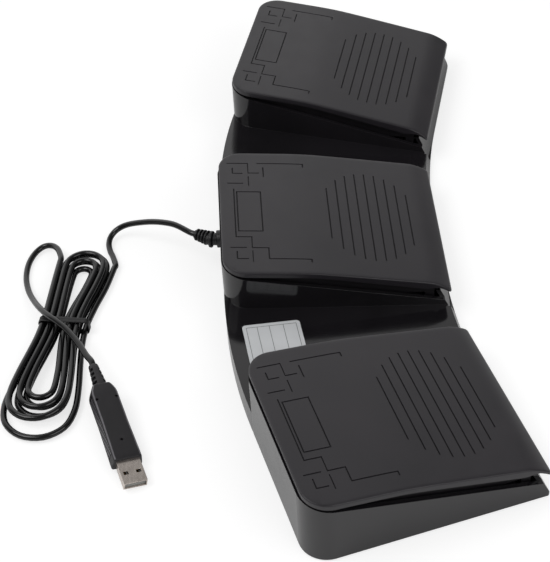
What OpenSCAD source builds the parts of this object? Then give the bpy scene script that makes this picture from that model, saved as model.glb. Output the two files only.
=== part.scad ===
// Triple foot switch: three hinged pedals on one curved base, with a tied USB cord.
// X runs along the row of pedals, +Y to the cord side, +Z up. The origin is the middle of the
// footprint on the floor. Each pedal has a frame of its own: s across, t towards the rear.

/* [Layout] */
// Distance of each side pedal from the centre pedal, across
pedal_pitch = 155; // [145:1:175]
// How far the side pedals stand forward of the centre one
side_forward = 20; // [10:1:26]
// Turn of each side pedal towards the centre
side_angle = 14.75; // [8:0.25:17]

/* [Pedal plate] */
// How far a plate stands out over its housing, at each side
plate_over = 0.5; // [0.3:0.1:0.8]
// Plate length behind the pedal's own origin
plate_back = 17.5; // [16:0.5:18]
// Plate length in front of the pedal's own origin
plate_front = 103.4; // [102:0.2:104]
// Height of the plate's top at the pedal's own origin
plate_h = 41.3; // [40.5:0.1:43]
// Slope of the rear part of the plate, in degrees
plate_slope = 5.65; // [5:0.05:6.2]
// Extra slope of the front part, as a rise per run
plate_bend = 0.113; // [0.09:0.001:0.12]
// Where the bend lies in front of the pedal's own origin
bend_at = 30; // [24:1:36]
// Half length of the smooth part of the bend
bend_soft = 9.3; // [5:0.1:14]
// Drop of the rolled front edge
lip_drop = 3.8; // [3.2:0.1:4.2]
// Length of the rolled front edge
lip_len = 13; // [11:0.5:15]
// Thickness of the rolled front edge
lip_t = 1.6; // [1.4:0.1:2]
// Wall thickness of a plate
plate_t = 2.2; // [1.8:0.1:2.6]
// Depth of the plate's edge at the rear
edge_rear = 3; // [2.6:0.1:3.4]
// Depth of the plate's side edge at the front
edge_front = 4.6; // [3.6:0.1:5]
// Corner radius of the plate at the rear
plate_r_rear = 13; // [9:0.5:16]
// Corner radius of the plate at the front
plate_r_front = 1.5; // [1:0.25:3]

/* [Base] */
// Height of the wall bottoms above the floor
rim_z = 1; // [0.6:0.1:1.4]
// Width of each pedal housing
housing_w = 99.5; // [93:0.5:103]
// Housing length behind the pedal's own origin
housing_back = 18.5; // [18:0.25:20]
// Housing length in front of the pedal's own origin, at the floor
housing_front = 104.5; // [103:0.5:106]
// Wall thickness of the base
wall_t = 2.5; // [2:0.1:3]
// Corner radius of the housings at the rear
housing_r_rear = 14; // [10:0.5:16]
// Corner radius of the housings at the front
housing_r_front = 1.5; // [1.2:0.1:2.5]
// Height of the side wall's top at the pedal's own origin
wall_h = 35; // [34:0.1:35.6]
// Fall of the side wall's top towards the front, as a rise per run
wall_fall = 0.233; // [0.225:0.001:0.245]
// Height of the upright foot of the sloped front
front_foot = 2.5; // [1.5:0.1:3]
// Lean of the sloped front, as a run per rise
front_lean = 0.46; // [0.4:0.01:0.5]
// Height of the front apron under each plate
apron_h = 16.6; // [16:0.1:16.8]
// Width of the front apron
apron_w = 94; // [86:0.5:94.5]
// Height of the tray between the housings, level with the centre pedal's origin
tray_h = 15.2; // [14:0.1:16.5]
// Rise of the tray towards the rear, as a rise per run
tray_rise = 0.07; // [0.05:0.005:0.08]
// Radius of the rear outline between the housings
rear_blend_r = 320; // [240:10:420]
// Radius of the front outline between the housings
front_blend_r = 340; // [240:10:420]

/* [Bottom cover and feet] */
// Thickness of the bottom cover
cover_t = 2; // [1.6:0.1:2.4]
// Gap between the bottom cover and the walls
cover_gap = 0.25; // [0.15:0.05:0.4]
// Radius of a rubber foot
foot_r = 7; // [5:0.5:8]
// Depth of a foot's seat in the cover
foot_seat = 1; // [0.8:0.1:1.2]

/* [Screws and posts] */
// Radius of a cover screw's shank
screw_r = 1.4; // [1.2:0.1:1.6]
// Radius of a cover screw's head
screw_head_r = 2.8; // [2.5:0.1:3]
// Height of a cover screw's head
screw_head_h = 1.6; // [1.4:0.1:1.8]
// Length of a cover screw under its head
screw_len = 7.5; // [6.5:0.5:8]
// Radius of a screw post
post_r = 4; // [3.6:0.1:4.4]
// Height of the cover's seat under each screw post
post_seat = 1.5; // [1.2:0.1:1.8]
// Clearance round a shank or a head
screw_gap = 0.05; // [0.02:0.01:0.09]

/* [Hinge] */
// Radius of a hinge pin
pin_r = 1.5; // [1.3:0.1:1.7]
// Place of the hinge pin behind the pedal's own origin
hinge_t = 10; // [9.5:0.25:10.5]
// Height of the hinge pin
hinge_z = 32.5; // [32:0.1:33]
// Running clearance of the knuckles on the pin
hinge_gap = 0.05; // [0.02:0.01:0.08]
// Radius of the knuckles and lugs round the pin
knuckle_r = 4; // [3.6:0.1:4.4]
// Width of a pedal's knuckle
knuckle_w = 8; // [7:0.25:8.5]
// Distance of a knuckle's middle from the housing's side
knuckle_in = 16.75; // [16:0.25:20]
// Width of a base lug
lug_w = 5; // [4:0.25:5.5]
// Side gap between a knuckle and a lug
lug_gap = 0.5; // [0.4:0.05:0.6]
// Travel of a pedal, in degrees
pedal_travel = 2; // [1.5:0.1:2]

/* [Return spring] */
// Place of the return spring in front of the pedal's own origin
spring_t = 30; // [29:0.5:31]
// Outer radius of a return spring
spring_r = 4.5; // [4.2:0.1:4.8]
// Wire radius of a return spring
spring_wire_r = 0.5; // [0.4:0.05:0.55]
// Number of turns of a return spring
spring_turns = 7; // [5:1:8]
// Height of the cover's spring post
spring_foot_h = 14; // [13:0.5:15]
// Length of a return spring at rest
spring_len = 16.5; // [15.5:0.5:17]
// Radius of the seats at both ends of a spring
spring_seat_r = 6; // [5.5:0.1:6.5]
// Radius of the spigots inside a spring
spigot_r = 3.1; // [2.8:0.1:3.2]
// Height of a spigot
spigot_h = 3; // [2:0.5:4]

/* [Switch] */
// Length of a switch body, along the pedal
switch_len = 19.8; // [19:0.2:20.6]
// Width of a switch body
switch_w = 6.4; // [6:0.2:7]
// Height of a switch body
switch_h = 10.2; // [9.8:0.1:10.6]
// Place of a switch's middle in front of the pedal's own origin
switch_t = 62; // [61:0.5:63]
// Length of a lever from its pivot to its tip
lever_len = 17.5; // [17:0.25:18]
// Width of a lever
lever_w = 4.4; // [4:0.1:4.8]
// Thickness of a lever
lever_t = 0.5; // [0.4:0.05:0.6]
// Lift of a lever at rest, in degrees
lever_lift = 9.5; // [9:0.25:10]
// Height of a lever's pivot over the switch body
lever_pivot_h = 1.2; // [1.1:0.1:1.4]
// Radius of a switch plunger
plunger_r = 1.2; // [1:0.1:1.4]
// Clearance round a plunger
plunger_gap = 0.06; // [0.04:0.01:0.08]

/* [Boards] */
// Height of the boards' undersides
board_z = 10.4; // [9.8:0.1:10.8]
// Thickness of a board
board_t = 1.6; // [1.4:0.1:1.8]
// Width of a side board
board_w = 36; // [32:1:40]
// Length of a board
board_len = 36; // [34:1:37]
// Width of the centre board
main_board_w = 56; // [54:1:58]
// Radius of a board post
board_post_r = 2.5; // [2.2:0.1:2.8]
// Radius of a board screw's shank
board_screw_r = 0.9; // [0.8:0.05:1]
// Radius of a board screw's head
board_screw_head_r = 1.9; // [1.7:0.1:2.1]
// Height of a board screw's head
board_screw_head_h = 1.2; // [1:0.1:1.4]
// Length of a board screw under its head
board_screw_len = 6; // [5:0.25:6.5]

/* [Stops] */
// Place of the stop bumpers in front of the pedal's own origin
bumper_t = 74; // [73:0.5:75]
// Radius of a stop bumper
bumper_r = 4; // [3.5:0.1:4.5]
// Height of a stop bumper
bumper_h = 2.5; // [2:0.1:3]
// Distance of each upper stop hook from the middle of the pedal
hook_s = 20; // [17:0.5:22]
// Width of a stop hook
hook_w = 8; // [6:0.5:10]
// Thickness of a stop hook
hook_t = 2; // [1.6:0.1:2.2]

/* [Cord] */
// Diameter of the cord
cord_d = 3.4; // [3:0.1:3.5]
// Height of the cord's exit in the rear wall
gland_z = 22.6; // [21:0.1:24]
// Radius of the strain relief at the wall
gland_r = 4.4; // [4:0.1:4.8]
// Length of the straight collar of the strain relief
gland_collar = 5; // [4:0.5:6]
// Length of the ribbed part of the strain relief
gland_ribs_len = 11; // [9:0.5:14]
// Turn of the ribbed part of the strain relief, in degrees
gland_turn = 30; // [10:1:32]

/* [Plug] */
// Length of the plug's moulded body
plug_len = 49; // [46:0.5:51]
// Width of the plug's moulded body
plug_w = 16.4; // [14:0.2:17]
// Thickness of the plug's moulded body
plug_t = 8; // [7.5:0.25:8]
// Length of the boot behind the plug
boot_len = 14.5; // [12:0.5:16]
// Width of the metal shell
shell_w = 12; // [11.9:0.05:12.1]
// Height of the metal shell
shell_h = 4.5; // [4.4:0.05:4.6]
// Length of the metal shell in front of the body
shell_len = 13.5; // [12:0.5:14]
// Wall thickness of the metal shell
shell_t = 0.4; // [0.3:0.05:0.5]

/* [Label] */
// Space beside the label, to the housing at each side
label_side = 10.75; // [9:0.25:13]
// Width of the label
label_w = 31; // [26:1:33]
// Thickness of the label
label_t = 0.25; // [0.15:0.05:0.4]
// Corner radius of the label
label_r = 2; // [1:0.5:4]

/* [Hidden] */
$fn = 48;

plate_w = housing_w + 2 * plate_over;

// One overrun serves all cuts, and one small gap keeps pieces just apart
cut = 1;
seat_gap = 0.3;
skirt_t = 1.5;
skirt_gap = 0.8;

// Places of the three pedals: left, centre, right
back_y = housing_back;
front_corner_y = -side_forward - sin(side_angle) * (housing_w / 2 - housing_r_front)
    - cos(side_angle) * (housing_front - housing_r_front) - housing_r_front;
mid_y = -(back_y + front_corner_y) / 2;
pedal_x = [-pedal_pitch, 0, pedal_pitch];
pedal_y = [mid_y - side_forward, mid_y, mid_y - side_forward];
pedal_turn = [side_angle, 0, -side_angle];
PEDALS = [0, 1, 2];
SIDES = [-1, 1];

module at_pedal(i) {
    translate([pedal_x[i], pedal_y[i], 0]) rotate([0, 0, pedal_turn[i]]) children();
}

// A profile drawn in t and z, stretched across the pedal
module across(w) {
    rotate([90, 0, 90]) linear_extrude(height = w, center = true) children();
}

// A point of a pedal's frame in the whole object's frame
function pedal_point(i, s, t) = [
    pedal_x[i] + cos(pedal_turn[i]) * s - sin(pedal_turn[i]) * t,
    pedal_y[i] + sin(pedal_turn[i]) * s + cos(pedal_turn[i]) * t];

// Flat outline with its own corner radius at the rear and at the front
least_r = 0.3;
module pad(w, back, front, r_rear, r_front) {
    rf = max(r_front, least_r);
    translate([-w / 2, rf - front]) square([w, back + front - r_rear - rf]);
    translate([r_rear - w / 2, back - r_rear - cut]) square([w - 2 * r_rear, r_rear + cut]);
    translate([rf - w / 2, -front]) square([w - 2 * rf, rf + cut]);
    for (k = SIDES) {
        translate([k * (w / 2 - r_rear), back - r_rear]) circle(r_rear);
        translate([k * (w / 2 - rf), rf - front]) circle(rf);
    }
}

// Height of a plate's top surface at t
function lip(t) = t < lip_len - plate_front
    ? lip_drop * pow((lip_len - plate_front - t) / lip_len, 2) : 0;
function bend(t) = plate_bend / 2 * (norm([bend_at + t, bend_soft]) - bend_at - t);
function plate_top(t) = plate_h + t * tan(plate_slope) - bend(t) - lip(t);

// Depth of a plate's edge at t: deeper towards the front, thin at the rolled lip
function along_front(t) = max(0, min(1, (-bend_at - t) / (plate_front - lip_len - bend_at)));
lip_share = 0.55;
function along_lip(t) = max(0, min(1, (lip_len - plate_front - t) / (lip_len * lip_share)));
function edge_depth(t) = edge_rear + (edge_front - edge_rear) * along_front(t)
    - (edge_front - lip_t) * along_lip(t);
plate_steps = 40;
plate_span = plate_back + plate_front;
function plate_t_at(n) = plate_back - n * plate_span / plate_steps;

module plate_profile(drop, deep) {
    top = [for (n = [0:plate_steps]) [plate_t_at(n), plate_top(plate_t_at(n)) - drop]];
    low = [for (n = [plate_steps:-1:0])
        [plate_t_at(n), plate_top(plate_t_at(n)) - (deep ? plate_h : edge_depth(plate_t_at(n)))]];
    polygon(concat(top, low));
}

// Underside of a plate at t
function plate_under(t) = plate_top(t) - plate_t;

// Hinge: knuckles under the plate turn between lugs of the base
lug_offset = knuckle_w / 2 + lug_gap + lug_w / 2;
knuckle_s = housing_w / 2 - knuckle_in;
pin_len = 2 * (knuckle_s + lug_offset + lug_w / 2 + lug_gap);
wall_inner_t = housing_back - wall_t;

module round_ear(w, s, t_from, t_to, z_from, z_to) {
    translate([s, 0, 0]) across(w) {
        translate([hinge_t, hinge_z]) circle(knuckle_r);
        translate([t_from, z_from]) square([t_to - t_from, z_to - z_from]);
    }
}

// Upper stop: a hook under the plate's front reaches below a ledge of the apron
function slope_t(z) = -housing_front + front_lean * (z - front_foot);
ledge_z = rim_z + cover_t + 9.5 * hook_t / 2;
ledge_h = hook_t;
ledge_reach = 2 * hook_t;
ledge_t = slope_t(ledge_z) + wall_t;
hook_stem_t = ledge_t + ledge_reach + seat_gap;
hook_toe_h = 1.2 * hook_t;

module stop_hook(s) {
    translate([s, 0, 0]) across(hook_w) {
        low = ledge_z - seat_gap - hook_toe_h;
        translate([hook_stem_t, low])
            square([hook_t, plate_under(hook_stem_t + hook_t) + plate_t / 2 - low]);
        translate([hook_stem_t - ledge_reach + seat_gap, low])
            square([ledge_reach, hook_toe_h]);
    }
}

// Where the plate's boss meets the lever
boss_r = 2;
lever_pivot_t = -switch_t + switch_len / 2 - board_t;
lever_pivot_z = board_z + board_t + switch_h + lever_pivot_h;
boss_reach = lever_len - 3 * boss_r / 2;
boss_t = lever_pivot_t - boss_reach;
boss_low = lever_pivot_z + boss_reach * tan(lever_lift) + lever_t / 2 + seat_gap;

module pedal_plate() {
    difference() {
        intersection() {
            linear_extrude(height = 2 * plate_h)
                pad(plate_w, plate_back, plate_front, plate_r_rear, plate_r_front);
            across(plate_w + cut) plate_profile(0, false);
        }
        intersection() {
            linear_extrude(height = 2 * plate_h)
                pad(plate_w - 2 * plate_t, plate_back - plate_t, plate_front - plate_t,
                    plate_r_rear - plate_t, plate_r_front - plate_t);
            across(plate_w) plate_profile(plate_t, true);
        }
    }
    // Knuckles
    for (k = SIDES) {
        difference() {
            round_ear(knuckle_w, k * knuckle_s, hinge_t - knuckle_r, hinge_t + knuckle_r,
                hinge_z, plate_under(hinge_t) + plate_t / 2);
            translate([k * knuckle_s, hinge_t, hinge_z]) rotate([0, 90, 0])
                cylinder(h = knuckle_w + cut, r = pin_r + hinge_gap, center = true);
        }
    }
    // Seat and spigot for the return spring
    seat_z = spring_foot_h + spring_len;
    translate([0, -spring_t, seat_z])
        cylinder(h = plate_under(-spring_t) - seat_z + plate_t / 2, r = spring_seat_r);
    translate([0, -spring_t, seat_z - spigot_h]) cylinder(h = spigot_h, r = spigot_r);
    // Boss that works the switch lever, round across its end
    across(lever_w + boss_r) {
        translate([boss_t, boss_low + boss_r]) circle(boss_r);
        translate([boss_t - boss_r, boss_low + boss_r])
            square([2 * boss_r, plate_under(boss_t + boss_r) + plate_t / 2 - boss_low - boss_r]);
    }
    // Two long ribs and the stop hooks
    for (k = SIDES) {
        translate([k * rib_s, 0, 0]) across(plate_t * rib_share) {
            rib = [for (n = [rib_first:rib_last]) [plate_t_at(n), plate_under(plate_t_at(n))]];
            polygon(concat([for (p = rib) [p[0], p[1] + plate_t / 2]],
                [for (n = [len(rib) - 1:-1:0]) [rib[n][0], rib[n][1] - rib_h]]));
        }
        stop_hook(k * hook_s);
        // A skirt inside each side wall closes the gap under the plate's edge, notched over a post
        translate([k * (housing_w / 2 - wall_t - skirt_gap - skirt_t / 2), 0, 0]) across(skirt_t)
            polygon([for (p = [
                [skirt_rear_t, wall_top(skirt_rear_t) - skirt_lap],
                [skirt_rear_t, plate_under(skirt_rear_t) + plate_t / 4],
                [-bend_at, plate_under(-bend_at) + plate_t / 2],
                [skirt_front_t, plate_under(skirt_front_t) + plate_t / 4],
                [skirt_tip_t, plate_under(skirt_tip_t) + plate_t / 4],
                [skirt_tip_t, wall_top(skirt_tip_t) - skirt_lap],
                [notch_t, wall_top(notch_t) - skirt_lap],
                [notch_t, notch_z],
                [skirt_front_t, notch_z],
                [skirt_front_t, wall_top(skirt_front_t) - skirt_lap]]) p]);
    }
}
function wall_top(t) = wall_h + wall_fall * t;
skirt_lap = 1.5;
skirt_rear_t = housing_back - housing_r_rear - wall_t;
skirt_front_t = -housing_front + 6.5 * post_r;
rib_s = 12;
rib_h = 2.4;
rib_share = 0.8;
rib_first = 5;
rib_last = 32;

// Outline of the tray, with its arcs between the housings; d draws it in all round
half_turn = side_angle / 2;
arc_steps = 12;
function meet_x(t) = pedal_pitch - cos(side_angle) * (side_forward + t * (1 - cos(side_angle)))
    / sin(side_angle) + sin(side_angle) * t;
rear_x = meet_x(housing_back) - rear_blend_r * tan(half_turn);
front_x = meet_x(-housing_front) - front_blend_r * tan(half_turn);
function rear_arc(d) = [for (n = [0:arc_steps]) let (a = side_angle * n / arc_steps)
    [rear_x + (rear_blend_r - d) * sin(a),
     mid_y + housing_back - rear_blend_r + (rear_blend_r - d) * cos(a)]];
function front_arc(d) = [for (n = [arc_steps:-1:0]) let (a = side_angle * n / arc_steps)
    [front_x + (front_blend_r + d) * sin(a),
     mid_y - housing_front - front_blend_r + (front_blend_r + d) * cos(a)]];
function half_outline(d) = concat(rear_arc(d),
    [pedal_point(2, 0, housing_back - d - cut), pedal_point(2, 0, d + cut - housing_front)],
    front_arc(d));
function mirrored(points) = [for (n = [len(points) - 1:-1:0]) [-points[n][0], points[n][1]]];
module tray_outline(d) {
    polygon(concat(half_outline(d), mirrored(half_outline(d))));
}

// Everything below the tray's sloping top, or that much lower
function tray_z(y) = tray_h + tray_rise * (y - mid_y);
tray_reach = 1.5 * housing_front;
module under_tray(drop) {
    across(4 * pedal_pitch) polygon([
        [mid_y - tray_reach, 0], [mid_y + tray_reach, 0],
        [mid_y + tray_reach, tray_z(mid_y + tray_reach) - drop],
        [mid_y - tray_reach, tray_z(mid_y - tray_reach) - drop]]);
}

module housing_outline(d) {
    pad(housing_w - 2 * d, housing_back - d, housing_front - d,
        housing_r_rear - d, housing_r_front - d);
}

// What leans away in front: flat before each pedal and round between them
lean_h = 2 * apron_h;
module lean_cut(d, from) {
    reach = d + front_lean * (from - front_foot);
    for (i = PEDALS) at_pedal(i) across(housing_w + 2 * cut) polygon([
        [-housing_front - lean_h, from], [reach - housing_front, from],
        [reach - housing_front + front_lean * lean_h, from + lean_h],
        [-housing_front - lean_h, from + lean_h]]);
    for (k = SIDES) {
        translate([k * front_x, mid_y - housing_front - front_blend_r, from])
            cylinder(h = lean_h, r1 = front_blend_r + reach,
                r2 = front_blend_r + reach + front_lean * lean_h, $fn = 180);
    }
}
module base_outer() {
    difference() {
        union() {
            intersection() {
                linear_extrude(height = wall_h) tray_outline(0);
                under_tray(0);
            }
            for (i = PEDALS) at_pedal(i) {
                intersection() {
                    linear_extrude(height = 2 * wall_h) housing_outline(0);
                    across(housing_w + cut) polygon([
                        [housing_back, 0], [-housing_front, 0],
                        [-housing_front, wall_h - wall_fall * housing_front],
                        [housing_back, wall_h + wall_fall * housing_back]]);
                }
                translate([-apron_w / 2, -housing_front, 0])
                    cube([apron_w, 3 * wall_t + front_lean * apron_h, apron_h]);
            }
        }
        lean_cut(0, front_foot);
    }
}
module base_hollow() {
    difference() {
        union() {
            translate([0, 0, -cut]) intersection() {
                linear_extrude(height = wall_h) tray_outline(wall_t);
                under_tray(wall_t - cut);
            }
            for (i = PEDALS) at_pedal(i) translate([0, 0, -cut])
                linear_extrude(height = 2 * wall_h) housing_outline(wall_t);
        }
        lean_cut(wall_t, max(front_foot, rim_z + cover_t));
    }
}

// Screw posts stand against the side walls, four to a housing
post_s = housing_w / 2 - wall_t - post_r + seat_gap;
post_rear_t = -housing_r_rear / 2;
post_front_t = -housing_front + 5 * post_r;
post_bottom = rim_z + cover_t + post_seat;
post_rear_h = tray_h + wall_t;
post_front_h = post_bottom + screw_len;
// The skirts clear the front posts at full travel, and end behind the apron
skirt_tip_t = slope_t(apron_h) + wall_t + skirt_gap;
notch_t = post_front_t - post_r - 4 * seat_gap;
notch_z = post_front_h + (hinge_t - notch_t) * sin(pedal_travel) + seat_gap;
post_places = [[-post_s, post_rear_t, post_rear_h], [post_s, post_rear_t, post_rear_h],
    [-post_s, post_front_t, post_front_h], [post_s, post_front_t, post_front_h]];
module at_posts() {
    for (i = PEDALS) at_pedal(i) for (p = post_places) translate([p[0], p[1], 0]) children();
}

gland_groove = 1.1;
gland_hole_r = gland_r - gland_groove;

module base_shell() {
    color("#121214") {
        difference() {
            union() {
                difference() {
                    base_outer();
                    base_hollow();
                    translate([0, 0, rim_z - plate_h]) linear_extrude(height = plate_h)
                        square(6 * pedal_pitch, center = true);
                }
                for (i = PEDALS) at_pedal(i) {
                    for (p = post_places) translate([p[0], p[1], post_bottom])
                        cylinder(h = p[2] - post_bottom, r = post_r);
                    // Lugs of the hinge, and the ledges that hold the pedal down
                    for (k = SIDES) {
                        intersection() {
                            linear_extrude(height = 2 * wall_h) housing_outline(wall_t / 2);
                            for (m = SIDES) round_ear(lug_w, k * knuckle_s + m * lug_offset,
                                hinge_t, housing_back, hinge_z - knuckle_r, hinge_z + pin_r);
                        }
                        translate([k * hook_s, 0, 0]) across(hook_w + 2 * hook_t)
                            translate([ledge_t - wall_t / 2, ledge_z])
                                square([ledge_reach + wall_t / 2, ledge_h]);
                    }
                }
            }
            for (i = PEDALS) at_pedal(i) {
                for (k = SIDES) translate([k * knuckle_s, hinge_t, hinge_z]) rotate([0, 90, 0])
                    cylinder(h = 2 * (lug_offset + lug_w), r = pin_r, center = true);
                for (p = post_places) translate([p[0], p[1], post_bottom - cut])
                    cylinder(h = screw_len - post_seat + 2 * cut, r = screw_r + screw_gap);
            }
            // The cord's hole in the rear wall of the centre housing
            translate([0, mid_y + housing_back + cut, gland_z]) rotate([90, 0, 0])
                cylinder(h = wall_t + 2 * cut, r = gland_hole_r);
        }
    }
}

// Bottom cover with its posts and seats
cover_top = rim_z + cover_t;
foot_places = [[-1, -1], [1, -1], [0, 1]];
foot_side_s = housing_w / 2 - 3 * foot_r;
foot_rear_t = housing_back - 2.5 * foot_r;
foot_front_t = -housing_front + 2.2 * foot_r;
module at_feet() {
    for (i = PEDALS) at_pedal(i) for (p = foot_places)
        translate([p[0] * foot_side_s, p[1] < 0 ? foot_front_t : foot_rear_t, 0]) children();
}
board_front_t = -switch_t - board_len / 2;
board_post_inset = board_post_r + board_t / 2;
function board_half(i) = i == 1 ? main_board_w / 2 : board_w / 2;
module at_board_posts(i) {
    at_pedal(i) for (k = SIDES) for (m = SIDES)
        translate([k * (board_half(i) - board_post_inset),
            -switch_t + m * (board_len / 2 - board_post_inset), 0]) children();
}
bumper_front = bumper_t + bumper_r;
bumper_top = plate_under(-bumper_front) - (bumper_front + hinge_t) * sin(pedal_travel) - seat_gap;
bumper_s = housing_w / 2 - wall_t - skirt_gap - skirt_t - 1.5 * bumper_r;
module at_bumpers() {
    for (i = PEDALS) at_pedal(i) for (k = SIDES)
        translate([k * bumper_s, -bumper_t, 0]) children();
}
cover_inset = wall_t + cover_gap;
module bottom_cover() {
    color("#1a1a1c") difference() {
        union() {
            translate([0, 0, rim_z]) linear_extrude(height = cover_t) {
                tray_outline(cover_inset);
                for (i = PEDALS) at_pedal(i) housing_outline(cover_inset);
            }
            at_posts() translate([0, 0, cover_top - cut / 2])
                cylinder(h = post_seat + cut / 2, r = post_r - wall_t / 3);
            for (i = PEDALS) at_pedal(i) translate([0, -spring_t, cover_top - cut / 2]) {
                cylinder(h = spring_foot_h - cover_top + cut / 2, r = spring_seat_r);
                cylinder(h = spring_foot_h - cover_top + cut / 2 + spigot_h, r = spigot_r);
            }
            for (i = PEDALS) at_board_posts(i) translate([0, 0, cover_top - cut / 2])
                cylinder(h = board_z - cover_top + cut / 2, r = board_post_r);
            at_bumpers() translate([0, 0, cover_top - cut / 2])
                cylinder(h = bumper_top - bumper_h - cover_top + cut / 2, r = bumper_r + cut / 2);
        }
        at_posts() {
            cylinder(h = post_bottom + cut, r = screw_r + screw_gap);
            cylinder(h = rim_z + screw_head_h + seat_gap, r = screw_head_r + screw_gap);
        }
        at_feet() cylinder(h = rim_z + foot_seat, r = foot_r + screw_gap);
        for (i = PEDALS) at_board_posts(i) translate([0, 0, board_z - board_screw_len])
            cylinder(h = board_screw_len + cut, r = board_screw_r + screw_gap);
    }
}
module rubber_feet() {
    color("#0c0c0d") at_feet() cylinder(h = rim_z + foot_seat, r = foot_r);
}
module cover_screws() {
    color("#b8b8ba") at_posts() difference() {
        union() {
            translate([0, 0, rim_z + seat_gap]) cylinder(h = screw_head_h, r = screw_head_r);
            translate([0, 0, rim_z + seat_gap + screw_head_h])
                cylinder(h = screw_len, r = screw_r);
        }
        for (a = [0, 90]) translate([0, 0, rim_z + seat_gap]) rotate([0, 0, a])
            cube([screw_head_r, screw_r / 2, screw_head_h], center = true);
    }
}
module hinge_pin() {
    color("#b9bbbf") translate([0, hinge_t, hinge_z]) rotate([0, 90, 0])
        cylinder(h = pin_len, r = pin_r, center = true);
}

// A tube swept along points, one ring of sides at each; both ends are closed
function unit(v) = v / norm(v);
function heading(p, n) = unit(p[min(n + 1, len(p) - 1)] - p[max(n - 1, 0)]);
function side_of(d) = abs(d[2]) > 0.9 ? [1, 0, 0] : unit(cross(d, [0, 0, 1]));
function ring(p, n, r, sides) = let (d = heading(p, n), e = side_of(d), f = cross(e, d))
    [for (k = [0:sides - 1]) let (a = 360 * (k + 0.5) / sides) p[n] + r * (cos(a) * e + sin(a) * f)];
module tube(p, r, sides) {
    count = len(p);
    points = [for (n = [0:count - 1]) each ring(p, n, r, sides)];
    walls = [for (n = [0:count - 2]) for (k = [0:sides - 1]) let (
        a = n * sides + k, b = n * sides + (k + 1) % sides)
        each [[a, a + sides, b + sides], [a, b + sides, b]]];
    caps = [for (k = [1:sides - 2]) each [[0, k, k + 1],
        [(count - 1) * sides, (count - 1) * sides + k + 1, (count - 1) * sides + k]]];
    polyhedron(points, concat(walls, caps));
}

// The spring's curls: flat closed end turns and an open middle
spring_rings = 8;
spring_sides = 6;
spring_count = spring_turns * spring_rings;
function spring_rise(n) = spring_wire_r + (spring_len - 2 * spring_wire_r)
    * max(0, min(1, (n / spring_rings - 1) / (spring_turns - 2))) * 1;
end_step = 2 * spring_wire_r * 1.1;
function curl_z(n) = let (turn = n / spring_rings, last = spring_turns - 1)
    turn < 1 ? spring_wire_r + end_step * turn
    : turn > last ? spring_len - spring_wire_r - end_step * (spring_turns - turn)
    : spring_wire_r + end_step + (spring_len - 2 * spring_wire_r - 2 * end_step)
        * (turn - 1) / (last - 1);
coil_r = spring_r - spring_wire_r;
module return_spring() {
    curls = [for (n = [0:spring_count]) let (a = 360 * n / spring_rings)
        [coil_r * cos(a), coil_r * sin(a), curl_z(n)]];
    color("#a9abae") translate([0, -spring_t, spring_foot_h]) tube(curls, spring_wire_r, spring_sides);
}

// Boards and what stands on them
module board(i) {
    color("#1f6b3a") difference() {
        at_pedal(i) translate([-board_half(i), board_front_t, board_z])
            cube([2 * board_half(i), board_len, board_t]);
        at_board_posts(i) translate([0, 0, board_z - cut])
            cylinder(h = board_t + 2 * cut, r = board_screw_r + screw_gap);
    }
}
module board_screws() {
    color("#c4c4c6") for (i = PEDALS) at_board_posts(i) {
        translate([0, 0, board_z + board_t]) cylinder(h = board_screw_head_h, r = board_screw_head_r);
        translate([0, 0, board_z + board_t - board_screw_len])
            cylinder(h = board_screw_len, r = board_screw_r);
    }
}
switch_z = board_z + board_t;
plunger_t = lever_pivot_t - 5.5 * lever_t * 2;
plunger_top = lever_pivot_z + (lever_pivot_t - plunger_t) * tan(lever_lift) - lever_t / 2 / cos(lever_lift)
    - seat_gap - plunger_r * tan(lever_lift);
plunger_len = 5;
module microswitch() {
    color("#26262a") difference() {
        union() {
            translate([-switch_w / 2, -switch_t - switch_len / 2, switch_z])
                cube([switch_w, switch_len, switch_h]);
            // Ears that carry the lever's pivot
            for (k = SIDES) translate([k * (lever_w / 2 + ear_t / 2 + ear_gap), 0, 0])
                across(ear_t) {
                    translate([lever_pivot_t, lever_pivot_z]) circle(ear_r);
                    translate([lever_pivot_t - ear_r, lever_pivot_z - lever_pivot_h - cut])
                        square([2 * ear_r, lever_pivot_h + cut]);
                }
        }
        translate([0, plunger_t, plunger_top - plunger_len])
            cylinder(h = switch_h, r = plunger_r + plunger_gap);
        translate([0, plunger_t, plunger_top - plunger_len - switch_stroke])
            cylinder(h = switch_h, r = plunger_r + plunger_gap);
        translate([0, lever_pivot_t, lever_pivot_z]) rotate([0, 90, 0])
            cylinder(h = 2 * switch_w, r = axle_r + hinge_gap, center = true);
    }
}
ear_t = 0.8;
ear_gap = 0.15;
ear_r = 1.1;
axle_r = 0.5;
switch_stroke = 1.2;
module switch_lever() {
    color("#c9cacc") translate([0, lever_pivot_t, lever_pivot_z]) {
        rotate([-lever_lift, 0, 0]) translate([-lever_w / 2, -lever_len, -lever_t / 2])
            cube([lever_w, lever_len, lever_t]);
        rotate([0, 90, 0]) cylinder(h = lever_w + 2 * (ear_gap + ear_t), r = axle_r, center = true);
    }
}
module switch_plunger() {
    color("#c03028") translate([0, plunger_t, plunger_top - plunger_len])
        cylinder(h = plunger_len, r = plunger_r);
}
chip_size = [10, 7.5, 1.8];
chip_s = 16;
module controller_chip() {
    color("#1b1b1d") at_pedal(1) translate([chip_s, -switch_t, switch_z]) {
        translate([-chip_size[0] / 2, -chip_size[1] / 2, 0]) cube(chip_size);
        for (k = SIDES) for (n = [0:chip_legs - 1])
            translate([(n + 0.5 - chip_legs / 2) * chip_size[0] / chip_legs - leg_w / 2,
                k > 0 ? chip_size[1] / 2 - cut / 2 : cut / 2 - chip_size[1] / 2 - leg_reach, 0])
                cube([leg_w, leg_reach, leg_w]);
    }
}
chip_legs = 7;
leg_w = 0.5;
leg_reach = 1.6;
crystal_r = 1.9;
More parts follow.
